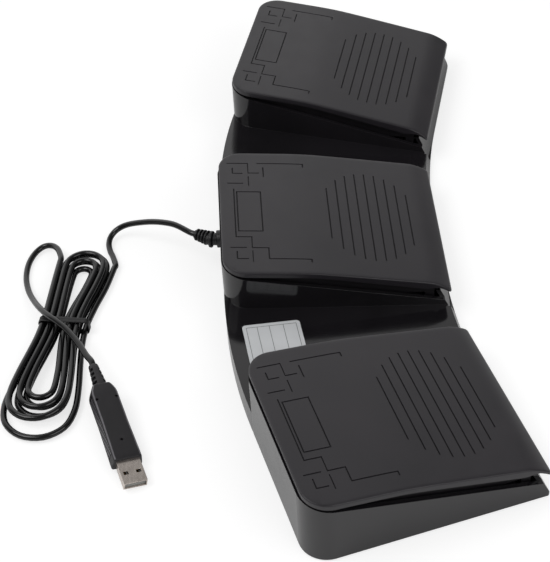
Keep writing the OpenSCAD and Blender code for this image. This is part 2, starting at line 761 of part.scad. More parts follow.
crystal_len = 7;
module crystal_can() {
    color("#c8c9cb") at_pedal(1) translate([chip_s - crystal_len / 2,
        -switch_t - chip_size[1] / 2 - leg_reach - 1.5 * crystal_r, switch_z + crystal_r])
        rotate([0, 90, 0]) cylinder(h = crystal_len, r = crystal_r);
}
cap_r = 2.5;
cap_h = 6;
module board_capacitors() {
    color("#2b3a66") {
        for (n = [0, 1]) at_pedal(1) translate([-chip_s + n * 3 * cap_r, -switch_t, switch_z])
            cylinder(h = cap_h, r = cap_r);
        for (i = [0, 2]) at_pedal(i) translate([-2 * cap_r - switch_w / 2,
            board_front_t + 2 * cap_r, switch_z]) cylinder(h = cap_h / 2, r = cap_r);
    }
}

// Sockets for the wires, their openings to the rear; the cord's own is on the centre board
socket_size = [8, 6, 5];
socket_s = 8;
socket_t = board_front_t + board_len - socket_size[1] / 2;
socket_list = [[0, socket_s], [1, -chip_s], [1, 0], [1, chip_s], [2, -socket_s]];
socket_mid_z = switch_z + socket_size[2] / 2;
function socket_mouth(n) = let (p = pedal_point(socket_list[n][0], socket_list[n][1],
    socket_t + socket_size[1] / 2)) [p[0], p[1], socket_mid_z];
module wire_sockets() {
    color("#e6e2d6") for (k = socket_list) at_pedal(k[0])
        translate([k[1] - socket_size[0] / 2, socket_t - socket_size[1] / 2, switch_z])
            cube(socket_size);
}
module stop_bumpers() {
    color("#101011") at_bumpers() translate([0, 0, bumper_top - bumper_h])
        cylinder(h = bumper_h, r = bumper_r);
}

// Inner wires: from socket to socket below the tray, and from the strain relief down
wire_r = 1.2;
wire_sides = 8;
function pull_back(p, i, d) = [p[0] - sin(pedal_turn[i]) * d, p[1] + cos(pedal_turn[i]) * d, p[2]];
wire_low_z = 7;
function harness(k) = let (a = socket_mouth(k < 0 ? 1 : 3), b = socket_mouth(k < 0 ? 0 : 4),
    i = k < 0 ? 0 : 2) [a, pull_back(a, 1, 4), pull_back(a, 1, 8) + [k * 2, 0, -1],
    [k * 32, a[1] + 9, 12], [k * 42, a[1] + 8, 8], [k * 52, a[1] + 6, wire_low_z],
    [k * 66, a[1] + 4, wire_low_z], [k * 80, a[1] + 2, wire_low_z],
    [k * 94, a[1] - 1, wire_low_z], [k * 106, a[1] - 2, 7.5], [k * 118, a[1] - 1, 9],
    pull_back(b, i, 8) + [-k * 3, 0, -1], pull_back(b, i, 4), b];
cable_inner_points = concat([[0, mid_y + housing_back - wall_t - gland_groove, gland_z]],
    [[0, 67, 22.6], [-0.5, 62, 22.2], [-3, 57, 20.5], [-7, 51.5, 17.5], [-10.5, 45, 13.5],
     [-12, 38, 10], [-12, 31, 8.8], [-9.8, 25, 9.8], [-5.5, 20.8, 12.2], [-1.5, 18.8, 14]],
    [socket_mouth(2) + [0, 4, 0], socket_mouth(2)]);

// Strain relief: a flange inside, a groove in the wall, then a collar and ribs outside
gland_tip = [gland_ribs_len * sin(gland_turn), mid_y + housing_back + gland_collar
    + gland_ribs_len * cos(gland_turn), gland_z];
gland_ribs = 4;
gland_plain = 0.3;
gland_end_r = cord_d / 2 + 0.9;
module strain_relief() {
    color("#161618") translate([0, mid_y + housing_back, gland_z]) {
        rotate([-90, 0, 0]) {
            cylinder(h = gland_collar, r = gland_r);
            translate([0, 0, -wall_t]) cylinder(h = wall_t + cut, r = gland_hole_r);
            translate([0, 0, -wall_t - gland_groove]) cylinder(h = gland_groove, r = gland_r);
        }
        translate([0, gland_collar, 0]) rotate([-90, 0, -gland_turn]) {
            translate([0, 0, -gland_end_r]) cylinder(h = gland_ribs_len + gland_end_r, r = gland_end_r);
            for (n = [0:gland_ribs - 1]) translate([0, 0, gland_ribs_len
                * (gland_plain + (1 - gland_plain) * (n + 0.5) / gland_ribs)])
                cylinder(h = (1 - gland_plain) * gland_ribs_len / gland_ribs / 2,
                    r = gland_r - (gland_r - gland_end_r) * (n + 0.5) / gland_ribs);
        }
    }
}

cord_r = cord_d / 2;
cord_sides = 8;

// The hank: loops that spiral in on the lower layer and out again on the upper one
cord_y = mid_y + housing_back;
hank_at = [-41, cord_y + 89];
hank_turn = -10;
hank_loops = 5.8;
hank_rings = 24;
hank_low = 2.75;
layer_step = 3.9;
strand_step = 3.9;
waist_half = 1.3;
top_half = 4.6;
low_half = 6.5;
low_step = 4;
top_reach = 46;
top_reach_step = 6;
low_reach = 54;
low_reach_step = 6.4;
// The outermost loop hangs out further at the low end, and the top end leans aside
loose_from = 2;
loose_reach = 13;
loose_half = 3;
top_shift = 2.2;
climb_from = 3;
climb_len = 0.3;
function spiral(T) = T < climb_from ? climb_from - T
    : T < climb_from + climb_len ? 0 : T - climb_from - climb_len;
function layer(T) = hank_low + layer_step * max(0, min(1, (T - climb_from) / climb_len));
function ease(x) = x * x * (3 - 2 * x);
run_share = 0.3;
turn_share = 0.2;
function hank_uv(T) = let (q = spiral(T), f = T - floor(T), e = max(0, q - loose_from),
    wt = top_half + strand_step * q, wb = low_half + low_step * q + loose_half * e,
    ww = waist_half + strand_step * q, ut = top_reach + top_reach_step * q - wt,
    ub = low_reach + low_reach_step * q + loose_reach * e - wb)
    f < run_share ? let (u = ut - (ut + ub) * f / run_share) [u, -half_at(u, ut, ub, wt, wb, ww)]
    : f < 0.5 ? let (a = 180 * (f - run_share) / turn_share)
        [-ub - wb * sin(a), -wb * cos(a)]
    : f < 0.5 + run_share ? let (u = -ub + (ut + ub) * (f - 0.5) / run_share)
        [u, half_at(u, ut, ub, wt, wb, ww)]
    : let (a = 180 * (f - 0.5 - run_share) / turn_share) [ut + wt * sin(a), wt * cos(a)];
function half_at(u, ut, ub, wt, wb, ww) = u > 0 ? ww + (wt - ww) * ease(u / ut)
    : ww + (wb - ww) * ease(-u / ub);
function leaned(p) = [p[0], p[1] - top_shift * ease(max(0, min(1, p[0] / top_reach)))];
function hank_point(T) = let (p = leaned(hank_uv(T))) [
    hank_at[0] + cos(hank_turn) * p[0] - sin(hank_turn) * p[1],
    hank_at[1] + sin(hank_turn) * p[0] + cos(hank_turn) * p[1], layer(T)];
hank_count = round(hank_loops * hank_rings);
hank_points = [for (n = [0:hank_count]) hank_point(hank_loops * n / hank_count)];

// The cord's way from the strain relief to the hank
lead_out = [sin(gland_turn), cos(gland_turn), 0];
function before(T, d) = hank_point(T) - d * unit(hank_point(T + 1 / hank_rings) - hank_point(T));
function after(T, d) = hank_point(T) + d * unit(hank_point(T) - hank_point(T - 1 / hank_rings));
// Points on the cord's way are given from the middle of the rear wall
function behind(points) = [for (p = points) [p[0], cord_y + p[1], p[2]]];
lead_points = concat([gland_tip, gland_tip + cord_d * lead_out], behind([
    [14.7, 25.3, 22], [19.7, 32, 20.2], [24.9, 40, 17], [29.4, 48, 13], [32.4, 54.2, 9.6],
    [33.2, 58.9, 7], [31.8, 62.7, 5], [28.4, 65.2, 3.5], [23.8, 65.9, 2.5], [18.6, 65, 2],
    [13.6, 63.3, 2.1]]),
    [before(0, cord_d), hank_point(0)]);

// The tail: a free loop that crosses the tie and comes down to the plug
plug_at = [-81.06, cord_y + 70.03, 12.87];
plug_yaw = 197;
plug_pitch = 6.8;
plug_roll = -10;
plug_dir = [cos(plug_yaw) * cos(plug_pitch), sin(plug_yaw) * cos(plug_pitch), -sin(plug_pitch)];
tail_points = concat([hank_point(hank_loops), after(hank_loops, cord_d)], behind([
    [14.4, 93.10, 6.3], [20.3, 95.10, 5.5], [24.4, 98.60, 4.5], [25.6, 103.00, 3.4],
    [23.3, 107.00, 2.5], [18.1, 110.20, 1.95], [10.7, 112.10, 1.75], [0.7, 112.30, 1.8],
    [-10.2, 110.10, 2.7], [-21.6, 105.90, 5.6], [-33.1, 100.60, 10], [-41, 95.40, 12.2],
    [-46.6, 90.40, 12.75], [-52, 85.80, 12.8], [-58.4, 81.50, 12.8], [-65.5, 77.50, 12.8],
    [-72.8, 74.00, 12.85]]),
    [plug_at - cord_d * plug_dir, plug_at]);

function path_length(p) = len(p) < 2 ? 0
    : norm(p[1] - p[0]) + path_length([for (n = [1:len(p) - 1]) p[n]]);
cord_length = path_length(lead_points) + path_length(hank_points) + path_length(tail_points);
near_rings = 5;
hank_gap = min([for (i = [0:hank_count - near_rings]) for (j = [i + near_rings:hank_count])
    norm(hank_points[i] - hank_points[j])]) - cord_d;
echo(cord_length = cord_length);
echo(hank_gap = hank_gap);

module cable_inner() {
    color("#18181a") tube(cable_inner_points, cord_r, cord_sides);
}
module usb_cord_lead() {
    color("#141416") tube(lead_points, cord_r, cord_sides);
}
hank_sides = 6;
module usb_cord_hank() {
    color("#141416") tube(hank_points, cord_r, hank_sides);
}
module usb_cord_tail() {
    color("#141416") tube(tail_points, cord_r, cord_sides);
}

// The tie: a thin ribbon wound round the waist of the hank
tie_t = 0.6;
tie_w = 4;
tie_gap = 0.35;
tie_right = waist_half + strand_step * (climb_from - 0.15) + cord_r + tie_gap;
tie_left = waist_half + strand_step * (climb_from - 0.65) + cord_r + tie_gap;
tie_low = hank_low - cord_r - tie_gap;
tie_high = hank_low + layer_step + cord_r + tie_gap;
tie_r = cord_r + tie_gap;
module tie_outline(d) {
    w = tie_right + tie_left + 2 * d;
    h = tie_high - tie_low + 2 * d;
    translate([-tie_right - d, tie_low + tie_r]) square([w, h - 2 * tie_r - 2 * d]);
    translate([tie_r - tie_right, tie_low - d]) square([w - 2 * tie_r - 2 * d, h]);
    for (y = [tie_r - tie_right, tie_left - tie_r])
        for (z = [tie_low + tie_r, tie_high - tie_r]) translate([y, z]) circle(tie_r + d);
}
module cord_tie() {
    color("#101012") translate([hank_at[0], hank_at[1], 0]) rotate([0, 0, hank_turn])
        across(tie_w) difference() {
            tie_outline(tie_t);
            tie_outline(0);
        }
}

// The plug: its frame starts where the cord enters, x towards the nose, z up
module at_plug() {
    translate(plug_at) rotate([plug_roll, plug_pitch, plug_yaw]) children();
}
boot_r_cord = 2.6;
boot_r_body = 3.8;
boot_ribs = 4;
body_x = boot_len;
shoulder = 5;
body_edge = 1;
shell_x = body_x + plug_len;
shell_deep = 8;
module plug_boot() {
    color("#161618") at_plug() rotate([0, 90, 0]) {
        cylinder(h = boot_len, r = boot_r_cord);
        for (n = [0:boot_ribs - 1]) translate([0, 0, n * boot_len / boot_ribs])
            cylinder(h = boot_len / boot_ribs * rib_share,
                r = boot_r_cord + (boot_r_body - boot_r_cord) * (n + 1) / boot_ribs);
    }
}
module plug_outline() {
    polygon([[body_x, shoulder - plug_w / 2], [body_x + shoulder, -plug_w / 2],
        [shell_x - body_edge, -plug_w / 2], [shell_x, body_edge - plug_w / 2],
        [shell_x, plug_w / 2 - body_edge], [shell_x - body_edge, plug_w / 2],
        [body_x + shoulder, plug_w / 2], [body_x, plug_w / 2 - shoulder]]);
}
module plug_body() {
    color("#26262a") at_plug() difference() {
        intersection() {
            translate([0, 0, -plug_t / 2]) linear_extrude(height = plug_t) plug_outline();
            rotate([90, 0, 0]) linear_extrude(height = 2 * plug_w, center = true) polygon([
                [body_x, body_edge - plug_t / 2], [body_x + body_edge, -plug_t / 2],
                [shell_x - body_edge, -plug_t / 2], [shell_x, body_edge - plug_t / 2],
                [shell_x, plug_t / 2 - body_edge], [shell_x - body_edge, plug_t / 2],
                [body_x + body_edge, plug_t / 2], [body_x, plug_t / 2 - body_edge]]);
        }
        translate([shell_x - shell_deep, -shell_w / 2, -shell_h / 2])
            cube([shell_deep + cut, shell_w, shell_h]);
    }
}
window_w = 2.5;
window_len = 2;
window_s = 3.2;
window_back = 6.3;
module plug_shell() {
    color("#c9cbd0") at_plug() difference() {
        translate([shell_x - shell_deep, -shell_w / 2, -shell_h / 2])
            cube([shell_deep + shell_len, shell_w, shell_h]);
        translate([shell_x - shell_deep + shell_t, shell_t - shell_w / 2, shell_t - shell_h / 2])
            cube([shell_deep + shell_len, shell_w - 2 * shell_t, shell_h - 2 * shell_t]);
        for (k = SIDES)
            translate([shell_x + shell_len - window_back - window_len / 2,
                k * window_s - window_w / 2, -shell_h])
                cube([window_len, window_w, 2 * shell_h]);
    }
}
tongue_t = 1.85;
tongue_gap = 0.25;
tongue_back = 1;
module plug_tongue() {
    color("#e8e8e6") at_plug()
        translate([shell_x - shell_deep + shell_t, shell_t + tongue_gap / 5 - shell_w / 2,
            shell_t + tongue_gap / 5 - shell_h / 2])
            cube([shell_deep + shell_len - shell_t - tongue_back,
                shell_w - 2 * shell_t - 2 * tongue_gap / 5, tongue_t]);
}
contact_w = 1;
contact_len = 7;
contact_t = 0.2;
contact_pitch = 2.2;
module plug_contacts() {
    color("#d9b45a") at_plug() for (n = [0:3])
        translate([shell_x + shell_len - tongue_back - contact_len - contact_w / 2,
            (n - 1.5) * contact_pitch - contact_w / 2,
            shell_t + tongue_gap / 5 - shell_h / 2 + tongue_t])
            cube([contact_len, contact_w, contact_t]);
}

// The label lies on the tray between the left and the centre pedal
label_x = -pedal_pitch / 2 - seat_gap;
label_len = pedal_pitch - housing_w - 2 * label_side;
label_dy = -7.5;
label_turn = 7;
module rating_label() {
    color("#d6d8da") translate([label_x, mid_y + label_dy, tray_h + tray_rise * label_dy])
        rotate([atan(tray_rise), 0, 0]) rotate([0, 0, label_turn])
            linear_extrude(height = label_t) {
                square([label_len - 2 * label_r, label_w], center = true);
                square([label_len, label_w - 2 * label_r], center = true);
                for (k = SIDES) for (m = SIDES)
                    translate([k * (label_len / 2 - label_r), m * (label_w / 2 - label_r)])
                        circle(label_r);
            }
}

base_shell();
bottom_cover();
rubber_feet();
cover_screws();
color("#3a383b") at_pedal(0) pedal_plate();  // pedal_left
color("#3a383b") at_pedal(1) pedal_plate();  // pedal_centre
color("#3a383b") at_pedal(2) pedal_plate();  // pedal_right
at_pedal(0) hinge_pin();  // hinge_pin_left
at_pedal(1) hinge_pin();  // hinge_pin_centre
at_pedal(2) hinge_pin();  // hinge_pin_right
at_pedal(0) return_spring();  // return_spring_left
at_pedal(1) return_spring();  // return_spring_centre
at_pedal(2) return_spring();  // return_spring_right
board(0);  // switch_board_left
board(1);  // controller_board
board(2);  // switch_board_right
board_screws();
at_pedal(0) microswitch();  // microswitch_left
at_pedal(1) microswitch();  // microswitch_centre
at_pedal(2) microswitch();  // microswitch_right
at_pedal(0) switch_lever();  // switch_lever_left
at_pedal(1) switch_lever();  // switch_lever_centre
at_pedal(2) switch_lever();  // switch_lever_right
at_pedal(0) switch_plunger();  // switch_plunger_left
at_pedal(1) switch_plunger();  // switch_plunger_centre
at_pedal(2) switch_plunger();  // switch_plunger_right
controller_chip();
crystal_can();
board_capacitors();
wire_sockets();
stop_bumpers();
color("#8a1f1f") tube(harness(-1), wire_r, wire_sides);  // harness_left
color("#8a1f1f") tube(harness(1), wire_r, wire_sides);  // harness_right
cable_inner();
strain_relief();
usb_cord_lead();
usb_cord_hank();
usb_cord_tail();
cord_tie();
plug_boot();
plug_body();
plug_shell();
plug_tongue();
plug_contacts();
rating_label();
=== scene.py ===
import math

import bmesh
import bpy
from mathutils import Matrix, Vector


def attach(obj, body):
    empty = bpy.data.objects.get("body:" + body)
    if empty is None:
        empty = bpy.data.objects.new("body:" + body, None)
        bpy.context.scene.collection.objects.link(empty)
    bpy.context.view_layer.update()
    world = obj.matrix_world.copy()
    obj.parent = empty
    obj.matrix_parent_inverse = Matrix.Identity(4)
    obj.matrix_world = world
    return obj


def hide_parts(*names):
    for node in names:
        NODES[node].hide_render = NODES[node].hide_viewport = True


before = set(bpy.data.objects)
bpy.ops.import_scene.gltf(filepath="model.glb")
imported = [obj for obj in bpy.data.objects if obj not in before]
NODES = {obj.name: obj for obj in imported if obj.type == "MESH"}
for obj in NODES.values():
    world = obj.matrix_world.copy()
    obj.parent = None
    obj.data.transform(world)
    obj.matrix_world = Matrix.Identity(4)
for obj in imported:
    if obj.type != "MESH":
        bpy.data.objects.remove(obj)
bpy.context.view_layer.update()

MM = 0.001
MATRIX_SIZE = 4
TO_METRES = Matrix.Scale(MM, MATRIX_SIZE)
# How near two places in a mesh lie to count as one, in millimetres
SAME_PLACE = 0.001


def turned(angle, axis):
    return Matrix.Rotation(angle, MATRIX_SIZE, axis)


# Where the three pedals stand in the shared frame: x, y and turn, in millimetres and degrees
MID_Y = 57.44514
SIDE_BACK = 20.0
PITCH = 155.0
SIDE_TURN = 14.75
PEDALS = (
    ("left", -PITCH, MID_Y - SIDE_BACK, SIDE_TURN),
    ("centre", 0.0, MID_Y, 0.0),
    ("right", PITCH, MID_Y - SIDE_BACK, -SIDE_TURN),
)
REAR_Y = MID_Y + 18.5

# Camera at the photograph's angle
CAMERA_AT = Vector((-0.60437, 0.05328, 0.56687))
CAMERA_FORWARD = Vector((0.72158, -0.00679, -0.69230))
CAMERA_ROLL = -3.703
CAMERA_LENS = 93.38
CAMERA_SENSOR = 36.0


def make_camera():
    bpy.ops.object.select_all(action="DESELECT")
    bpy.ops.object.camera_add()
    camera = bpy.context.object
    camera.data.lens = CAMERA_LENS
    camera.data.sensor_width = CAMERA_SENSOR
    forward = CAMERA_FORWARD.normalized()
    level = forward.cross(Vector((0, 0, 1))).normalized()
    upright = level.cross(forward)
    roll = math.radians(CAMERA_ROLL)
    right = level * math.cos(roll) + upright * math.sin(roll)
    up = upright * math.cos(roll) - level * math.sin(roll)
    matrix = Matrix((right, up, -forward)).transposed().to_4x4()
    matrix.translation = CAMERA_AT
    camera.matrix_world = matrix
    bpy.context.scene.camera = camera


make_camera()


# Colours and nodes
FULL_BYTE = 255.0
SRGB_LINE = 12.92
SRGB_LINE_ENDS = 0.04045
SRGB_LIFT = 0.055
SRGB_POWER = 2.4


def linear(hex_colour):
    """An sRGB hex value as the linear colour that a socket takes."""
    parts = []
    for level in bytes.fromhex(hex_colour[1:]):
        value = level / FULL_BYTE
        curve = ((value + SRGB_LIFT) / (1 + SRGB_LIFT)) ** SRGB_POWER
        parts.append(value / SRGB_LINE if value <= SRGB_LINE_ENDS else curve)
    return (*parts, 1.0)


def add(tree, kind, settings=None, links=None):
    """One node with its settings and links, each named by socket or property."""
    node = tree.nodes.new(kind)
    for name, value in (settings or {}).items():
        if isinstance(name, int) or name in node.inputs:
            node.inputs[name].default_value = value
        else:
            setattr(node, name, value)
    for name, source in (links or {}).items():
        tree.links.new(source, node.inputs[name])
    return node


# Patches of colour blend over this part of the noise, and gloss varies four times as finely
BLEND_LOW = 0.3
BLEND_HIGH = 0.72
GLOSS_LOW = 0.3
GLOSS_HIGH = 0.7
GLOSS_FINER = 4.0
PATCH_DETAIL = 3.0
GLOSS_DETAIL = 4.0
GRAIN_DETAIL = 2.0
FINE_SHARE = 0.55
BUMP_STRENGTH = 0.5
EDGE_SAMPLES = 4
COAT_ROUGH = 0.1
MIRROR_SHARE = 0.5
EVEN = (1.0, 1.0, 1.0)


def finish(name, dark, light, rough, patch, grain, deep, metal=0.0, edge=0.0, coat=0.0,
           coat_rough=COAT_ROUGH, spec=MIRROR_SHARE, sheen=0.0, drawn=EVEN):
    """A surface with patches, uneven gloss and grain, whose sizes are in millimetres."""
    material = bpy.data.materials.new(name)
    material.use_nodes = True
    tree = material.node_tree
    shader = tree.nodes["Principled BSDF"]
    for socket, value in (("Metallic", metal), ("Coat Weight", coat), ("Coat Roughness", coat_rough),
                          ("Specular IOR Level", spec), ("Sheen Weight", sheen)):
        shader.inputs[socket].default_value = value
    place = add(tree, "ShaderNodeTexCoord")
    along = add(tree, "ShaderNodeMapping", {"Scale": drawn}, {"Vector": place.outputs["Object"]})
    way = {"Vector": along.outputs["Vector"]}
    patches = add(tree, "ShaderNodeTexNoise",
                  {"Scale": 1 / (patch * MM), "Detail": PATCH_DETAIL, "Roughness": FINE_SHARE}, way)
    colour = add(tree, "ShaderNodeValToRGB", links={"Fac": patches.outputs["Fac"]})
    for stop, position, shade in ((0, BLEND_LOW, dark), (1, BLEND_HIGH, light)):
        colour.color_ramp.elements[stop].position = position
        colour.color_ramp.elements[stop].color = linear(shade)
    wear = add(tree, "ShaderNodeTexNoise",
               {"Scale": GLOSS_FINER / (patch * MM), "Detail": GLOSS_DETAIL,
                "Roughness": FINE_SHARE}, way)
    gloss = add(tree, "ShaderNodeMapRange",
                {"From Min": GLOSS_LOW, "From Max": GLOSS_HIGH, "To Min": rough[0], "To Max": rough[1]},
                {"Value": wear.outputs["Fac"]})
    grit = add(tree, "ShaderNodeTexNoise",
               {"Scale": 1 / (grain * MM), "Detail": GRAIN_DETAIL, "Roughness": FINE_SHARE}, way)
    bump = add(tree, "ShaderNodeBump", {"Strength": BUMP_STRENGTH, "Distance": deep * MM},
               {"Height": grit.outputs["Fac"]})
    if edge:
        worn = add(tree, "ShaderNodeBevel", {"samples": EDGE_SAMPLES, "Radius": edge * MM})
        tree.links.new(worn.outputs["Normal"], bump.inputs["Normal"])
    tree.links.new(colour.outputs["Color"], shader.inputs["Base Color"])
    tree.links.new(gloss.outputs["Result"], shader.inputs["Roughness"])
    tree.links.new(bump.outputs["Normal"], shader.inputs["Normal"])
    return material


M = {
    # Black ABS, moulded against a tool with a fine spark-eroded skin: it breaks the reflection
    # into a soft even sheen. The real grain is 0.05 mm and is drawn at 0.31 mm so that it shows.
    "plate": finish("abs_satin_plate", "#211f23", "#272428", (0.3, 0.4), patch=40.0, grain=0.31,
                    deep=0.03),
    # The same ABS at the floor of an engraved line, duller and painted darker: the dark colour is
    # painted shade for the shadow down in the line.
    "groove": finish("abs_engraved_floor_painted_shade", "#0c0b0d", "#121113", (0.5, 0.6), patch=16.7, grain=0.31,
                     deep=0.03, spec=0.3),
    # The plate's own body under its skin, duller and painted darker than the face: painted shade, so
    # that the skirt and ribs seen in the gap under the plate read as shadow.
    "plate_body": finish("abs_plate_body_painted_shade", "#151316", "#1a181b", (0.4, 0.5), patch=33.0, grain=0.38,
                         deep=0.03, edge=0.3, spec=0.35),
    # Black ABS from a polished tool: it mirrors the studio, with a slow waviness of about 1 mm
    # where the wall shrank as it cooled.
    "base": finish("abs_polished_base", "#141315", "#1c1a1d", (0.1, 0.17), patch=55.0, grain=1.1,
                   deep=0.01, edge=0.3, spec=0.6),
    # Black ABS from a textured tool, 0.1 mm grain drawn at 0.5 mm: a plain matt underside.
    "cover": finish("abs_textured_cover", "#1a1a1c", "#202022", (0.45, 0.58), patch=25.0, grain=0.5,
                    deep=0.05, edge=0.4),
    # Moulded rubber: dull, with a bloom that lifts its edges.
    "rubber": finish("moulded_rubber", "#0c0c0d", "#161617", (0.7, 0.85), patch=11.0, grain=0.55,
                     deep=0.08, edge=0.4, sheen=0.15),
    # Turned and ground steel: bright, its 0.02 mm turning marks drawn at 0.33 mm.
    "steel": finish("turned_steel", "#a8aaae", "#c2c4c7", (0.22, 0.34), patch=12.5, grain=0.33,
                    deep=0.01, metal=1.0, edge=0.15),
    # Drawn spring wire: greyer than the pins, with die marks drawn at 0.28 mm.
    "spring": finish("drawn_spring_wire", "#8d9095", "#aeb1b5", (0.25, 0.4), patch=7.0, grain=0.28,
                     deep=0.01, metal=1.0),
    # Glass-fibre board under green lacquer: the weave shows through at 0.38 mm, and the lacquer
    # gives a thin clear shine.
    "board": finish("lacquered_board", "#15502b", "#1f6b3a", (0.25, 0.4), patch=8.3, grain=0.38,
                    deep=0.02, edge=0.1, coat=0.3),
    # Glass-filled nylon case, moulded: dull grey-black with short fibres at the skin.
    "case": finish("glass_filled_nylon", "#202023", "#2b2b2f", (0.45, 0.6), patch=6.7, grain=0.33,
                   deep=0.03, edge=0.2),
    # Red acetal, moulded: waxy and self-coloured.
    "plunger": finish("red_acetal", "#a8271f", "#c2352b", (0.35, 0.5), patch=5.0, grain=0.33,
                      deep=0.02, edge=0.15),
    # Shrunk vinyl sleeve on the capacitors: blue, smooth, slightly puckered.
    "sleeve": finish("shrunk_vinyl_sleeve", "#24335c", "#2f4070", (0.3, 0.45), patch=6.7, grain=0.33,
                     deep=0.02, edge=0.2),
    # Unfilled natural nylon of the wire sockets: creamy and faintly uneven.
    "nylon": finish("natural_nylon", "#dcd8cb", "#e8e4d8", (0.4, 0.55), patch=8.3, grain=0.4,
                    deep=0.03, edge=0.15),
    # Extruded vinyl on the harness wires: red, with a soft shine along each wire.
    "wire": finish("vinyl_wire", "#7c1b1b", "#922323", (0.35, 0.5), patch=5.0, grain=0.33, deep=0.02),
    # Extruded PVC jacket: black and glossy, with a clear skin from the hot die, and the cords
    # inside it felt as a slow swell of 0.67 mm.
    "cord": finish("extruded_pvc_jacket", "#050506", "#09090a", (0.14, 0.2), patch=14.0, grain=0.67,
                   deep=0.02, coat=0.3, coat_rough=0.06, spec=0.4),
    # Injected PVC of the relief sleeve: the same black, duller than the extruded jacket.
    "relief": finish("injected_pvc_sleeve", "#0d0d0e", "#141416", (0.38, 0.5), patch=11.0, grain=0.55,
                     deep=0.04, edge=0.2),
    # Injected PVC of the plug grip: charcoal with a fine matt tool skin, drawn at 0.38 mm.
    "plug": finish("injected_pvc_grip", "#181619", "#1e1c1f", (0.4, 0.5), patch=9.0, grain=0.38,
                   deep=0.05, spec=0.45),
    # The same PVC down in the teeth and windows, painted nearly black: painted shade for the little
    # light that reaches down there.
    "recess": finish("injected_pvc_recess_painted_shade", "#08080a", "#0d0c0e", (0.55, 0.65), patch=9.0, grain=0.38,
                     deep=0.05, spec=0.25),
    # The same PVC on the crests of the teeth and along the upper edges, painted greyer and made a
    # little glossier: the grey is a painted highlight where light catches those edges.
    "painted_highlight": finish("injected_pvc_painted_highlight", "#5a585c", "#666468", (0.3, 0.38), patch=9.0, grain=0.38,
                     deep=0.03),
    # Nickel-plated pressed steel: bright and slightly warm, rolling lines drawn across its length.
    "nickel": finish("nickel_plated_steel", "#d6cbc3", "#e6dcd4", (0.2, 0.32), patch=16.7, grain=0.45,
                     deep=0.01, metal=1.0, edge=0.25, drawn=(1.0, 4.0, 1.0)),
    # Gold-flashed brass contacts: yellow and polished by use.
    "brass": finish("gold_flashed_brass", "#b98f38", "#d8b45c", (0.2, 0.3), patch=5.0, grain=0.33,
                    deep=0.01, metal=1.0),
    # Polyester tongue of the plug, moulded and matt, seen only in the shade of its shell; its grey is
    # painted shade, darker than the tongue's own cream colour.
    "tongue": finish("polyester_tongue_painted_shade", "#8a8a88", "#989895", (0.45, 0.55), patch=6.7, grain=0.4,
                     deep=0.02, edge=0.1),
    # Soft vinyl tie: black, matt, pulled a little uneven.
    "tie": finish("soft_vinyl_tie", "#0e0e0f", "#161617", (0.4, 0.55), patch=6.2, grain=0.45,
                  deep=0.04),
    # Silver printed polyester film: pale grey, nearly flat, a faint orange peel of 0.55 mm.
    "label": finish("silver_polyester_film", "#c9cbcd", "#d6d8da", (0.32, 0.42), patch=28.0,
                    grain=0.55, deep=0.02, edge=0.1),
    # Screen-printed ink on the film: dark grey and dull.
    "ink": finish("screen_printed_ink", "#3c3d40", "#4a4b4e", (0.5, 0.6), patch=5.0, grain=0.33,
                  deep=0.01),
}

WEARS = {
    # The pedals' own bodies take the darker finish, painted shade for the gap under each plate.
    "plate_body": ("pedal_left", "pedal_centre", "pedal_right"),
    "steel": ("hinge_pin_left", "hinge_pin_centre", "hinge_pin_right", "switch_lever_left",
              "switch_lever_centre", "switch_lever_right", "cover_screws", "board_screws",
              "crystal_can"),
    "spring": ("return_spring_left", "return_spring_centre", "return_spring_right"),
    "case": ("microswitch_left", "microswitch_centre", "microswitch_right", "controller_chip"),
    "plunger": ("switch_plunger_left", "switch_plunger_centre", "switch_plunger_right"),
    "base": ("base_shell",),
    "cover": ("bottom_cover",),
    "rubber": ("rubber_feet", "stop_bumpers"),
    "board": ("switch_board_left", "controller_board", "switch_board_right"),
    "sleeve": ("board_capacitors",),
    "nylon": ("wire_sockets",),
    "wire": ("harness_left", "harness_right"),
    "cord": ("cable_inner", "usb_cord_lead", "usb_cord_hank", "usb_cord_tail"),
    "relief": ("strain_relief",),
    "tie": ("cord_tie",),
    "plug": ("plug_boot", "plug_body"),
    "nickel": ("plug_shell",),
    "tongue": ("plug_tongue",),
    "brass": ("plug_contacts",),
    "label": ("rating_label",),
}


def dress(node, material):
    """Give a CAD node its finish in every slot that it has."""
    mesh = NODES[node].data
    if not mesh.materials:
        mesh.materials.append(material)
    for slot in range(len(mesh.materials)):
        mesh.materials[slot] = material


for key, nodes in WEARS.items():
    for node in nodes:
        dress(node, M[key])


# The cord's way: out of the gland, down to the floor, round the hank and up to the plug
CORD_D = 3.4
CORD_CUTS = 4
CORD_ROUND = 5
GLAND_Z = 22.6
GLAND_ELBOW = 5.0
GLAND_REACH = 11.0
GLAND_TURN = math.radians(30.0)
GLAND_WAY = Vector((math.sin(GLAND_TURN), math.cos(GLAND_TURN), 0))
GLAND_TIP = Vector((0, REAR_Y + GLAND_ELBOW, GLAND_Z)) + GLAND_REACH * GLAND_WAY
HANK_AT = (-41.0, REAR_Y + 89.0)
HANK_TURN = math.radians(-10.0)
LOOPS = 5.8
RINGS = 24
LAYER_TURNS = 3.0
CLIMB = 0.3
LAYER_LOW = 2.75
LAYER_RISE = 3.9
TURN_GAP = 3.9
RUN_OUT = 0.3
FOLD_IN = 0.5
RUN_BACK = 0.8
# The innermost turn: half widths at its folds and waist, and its reach to either side of the tie
TOP_FOLD = 4.6
BOTTOM_FOLD = 6.5
WAIST = 1.3
UP_REACH = 46.0
DOWN_REACH = 54.0
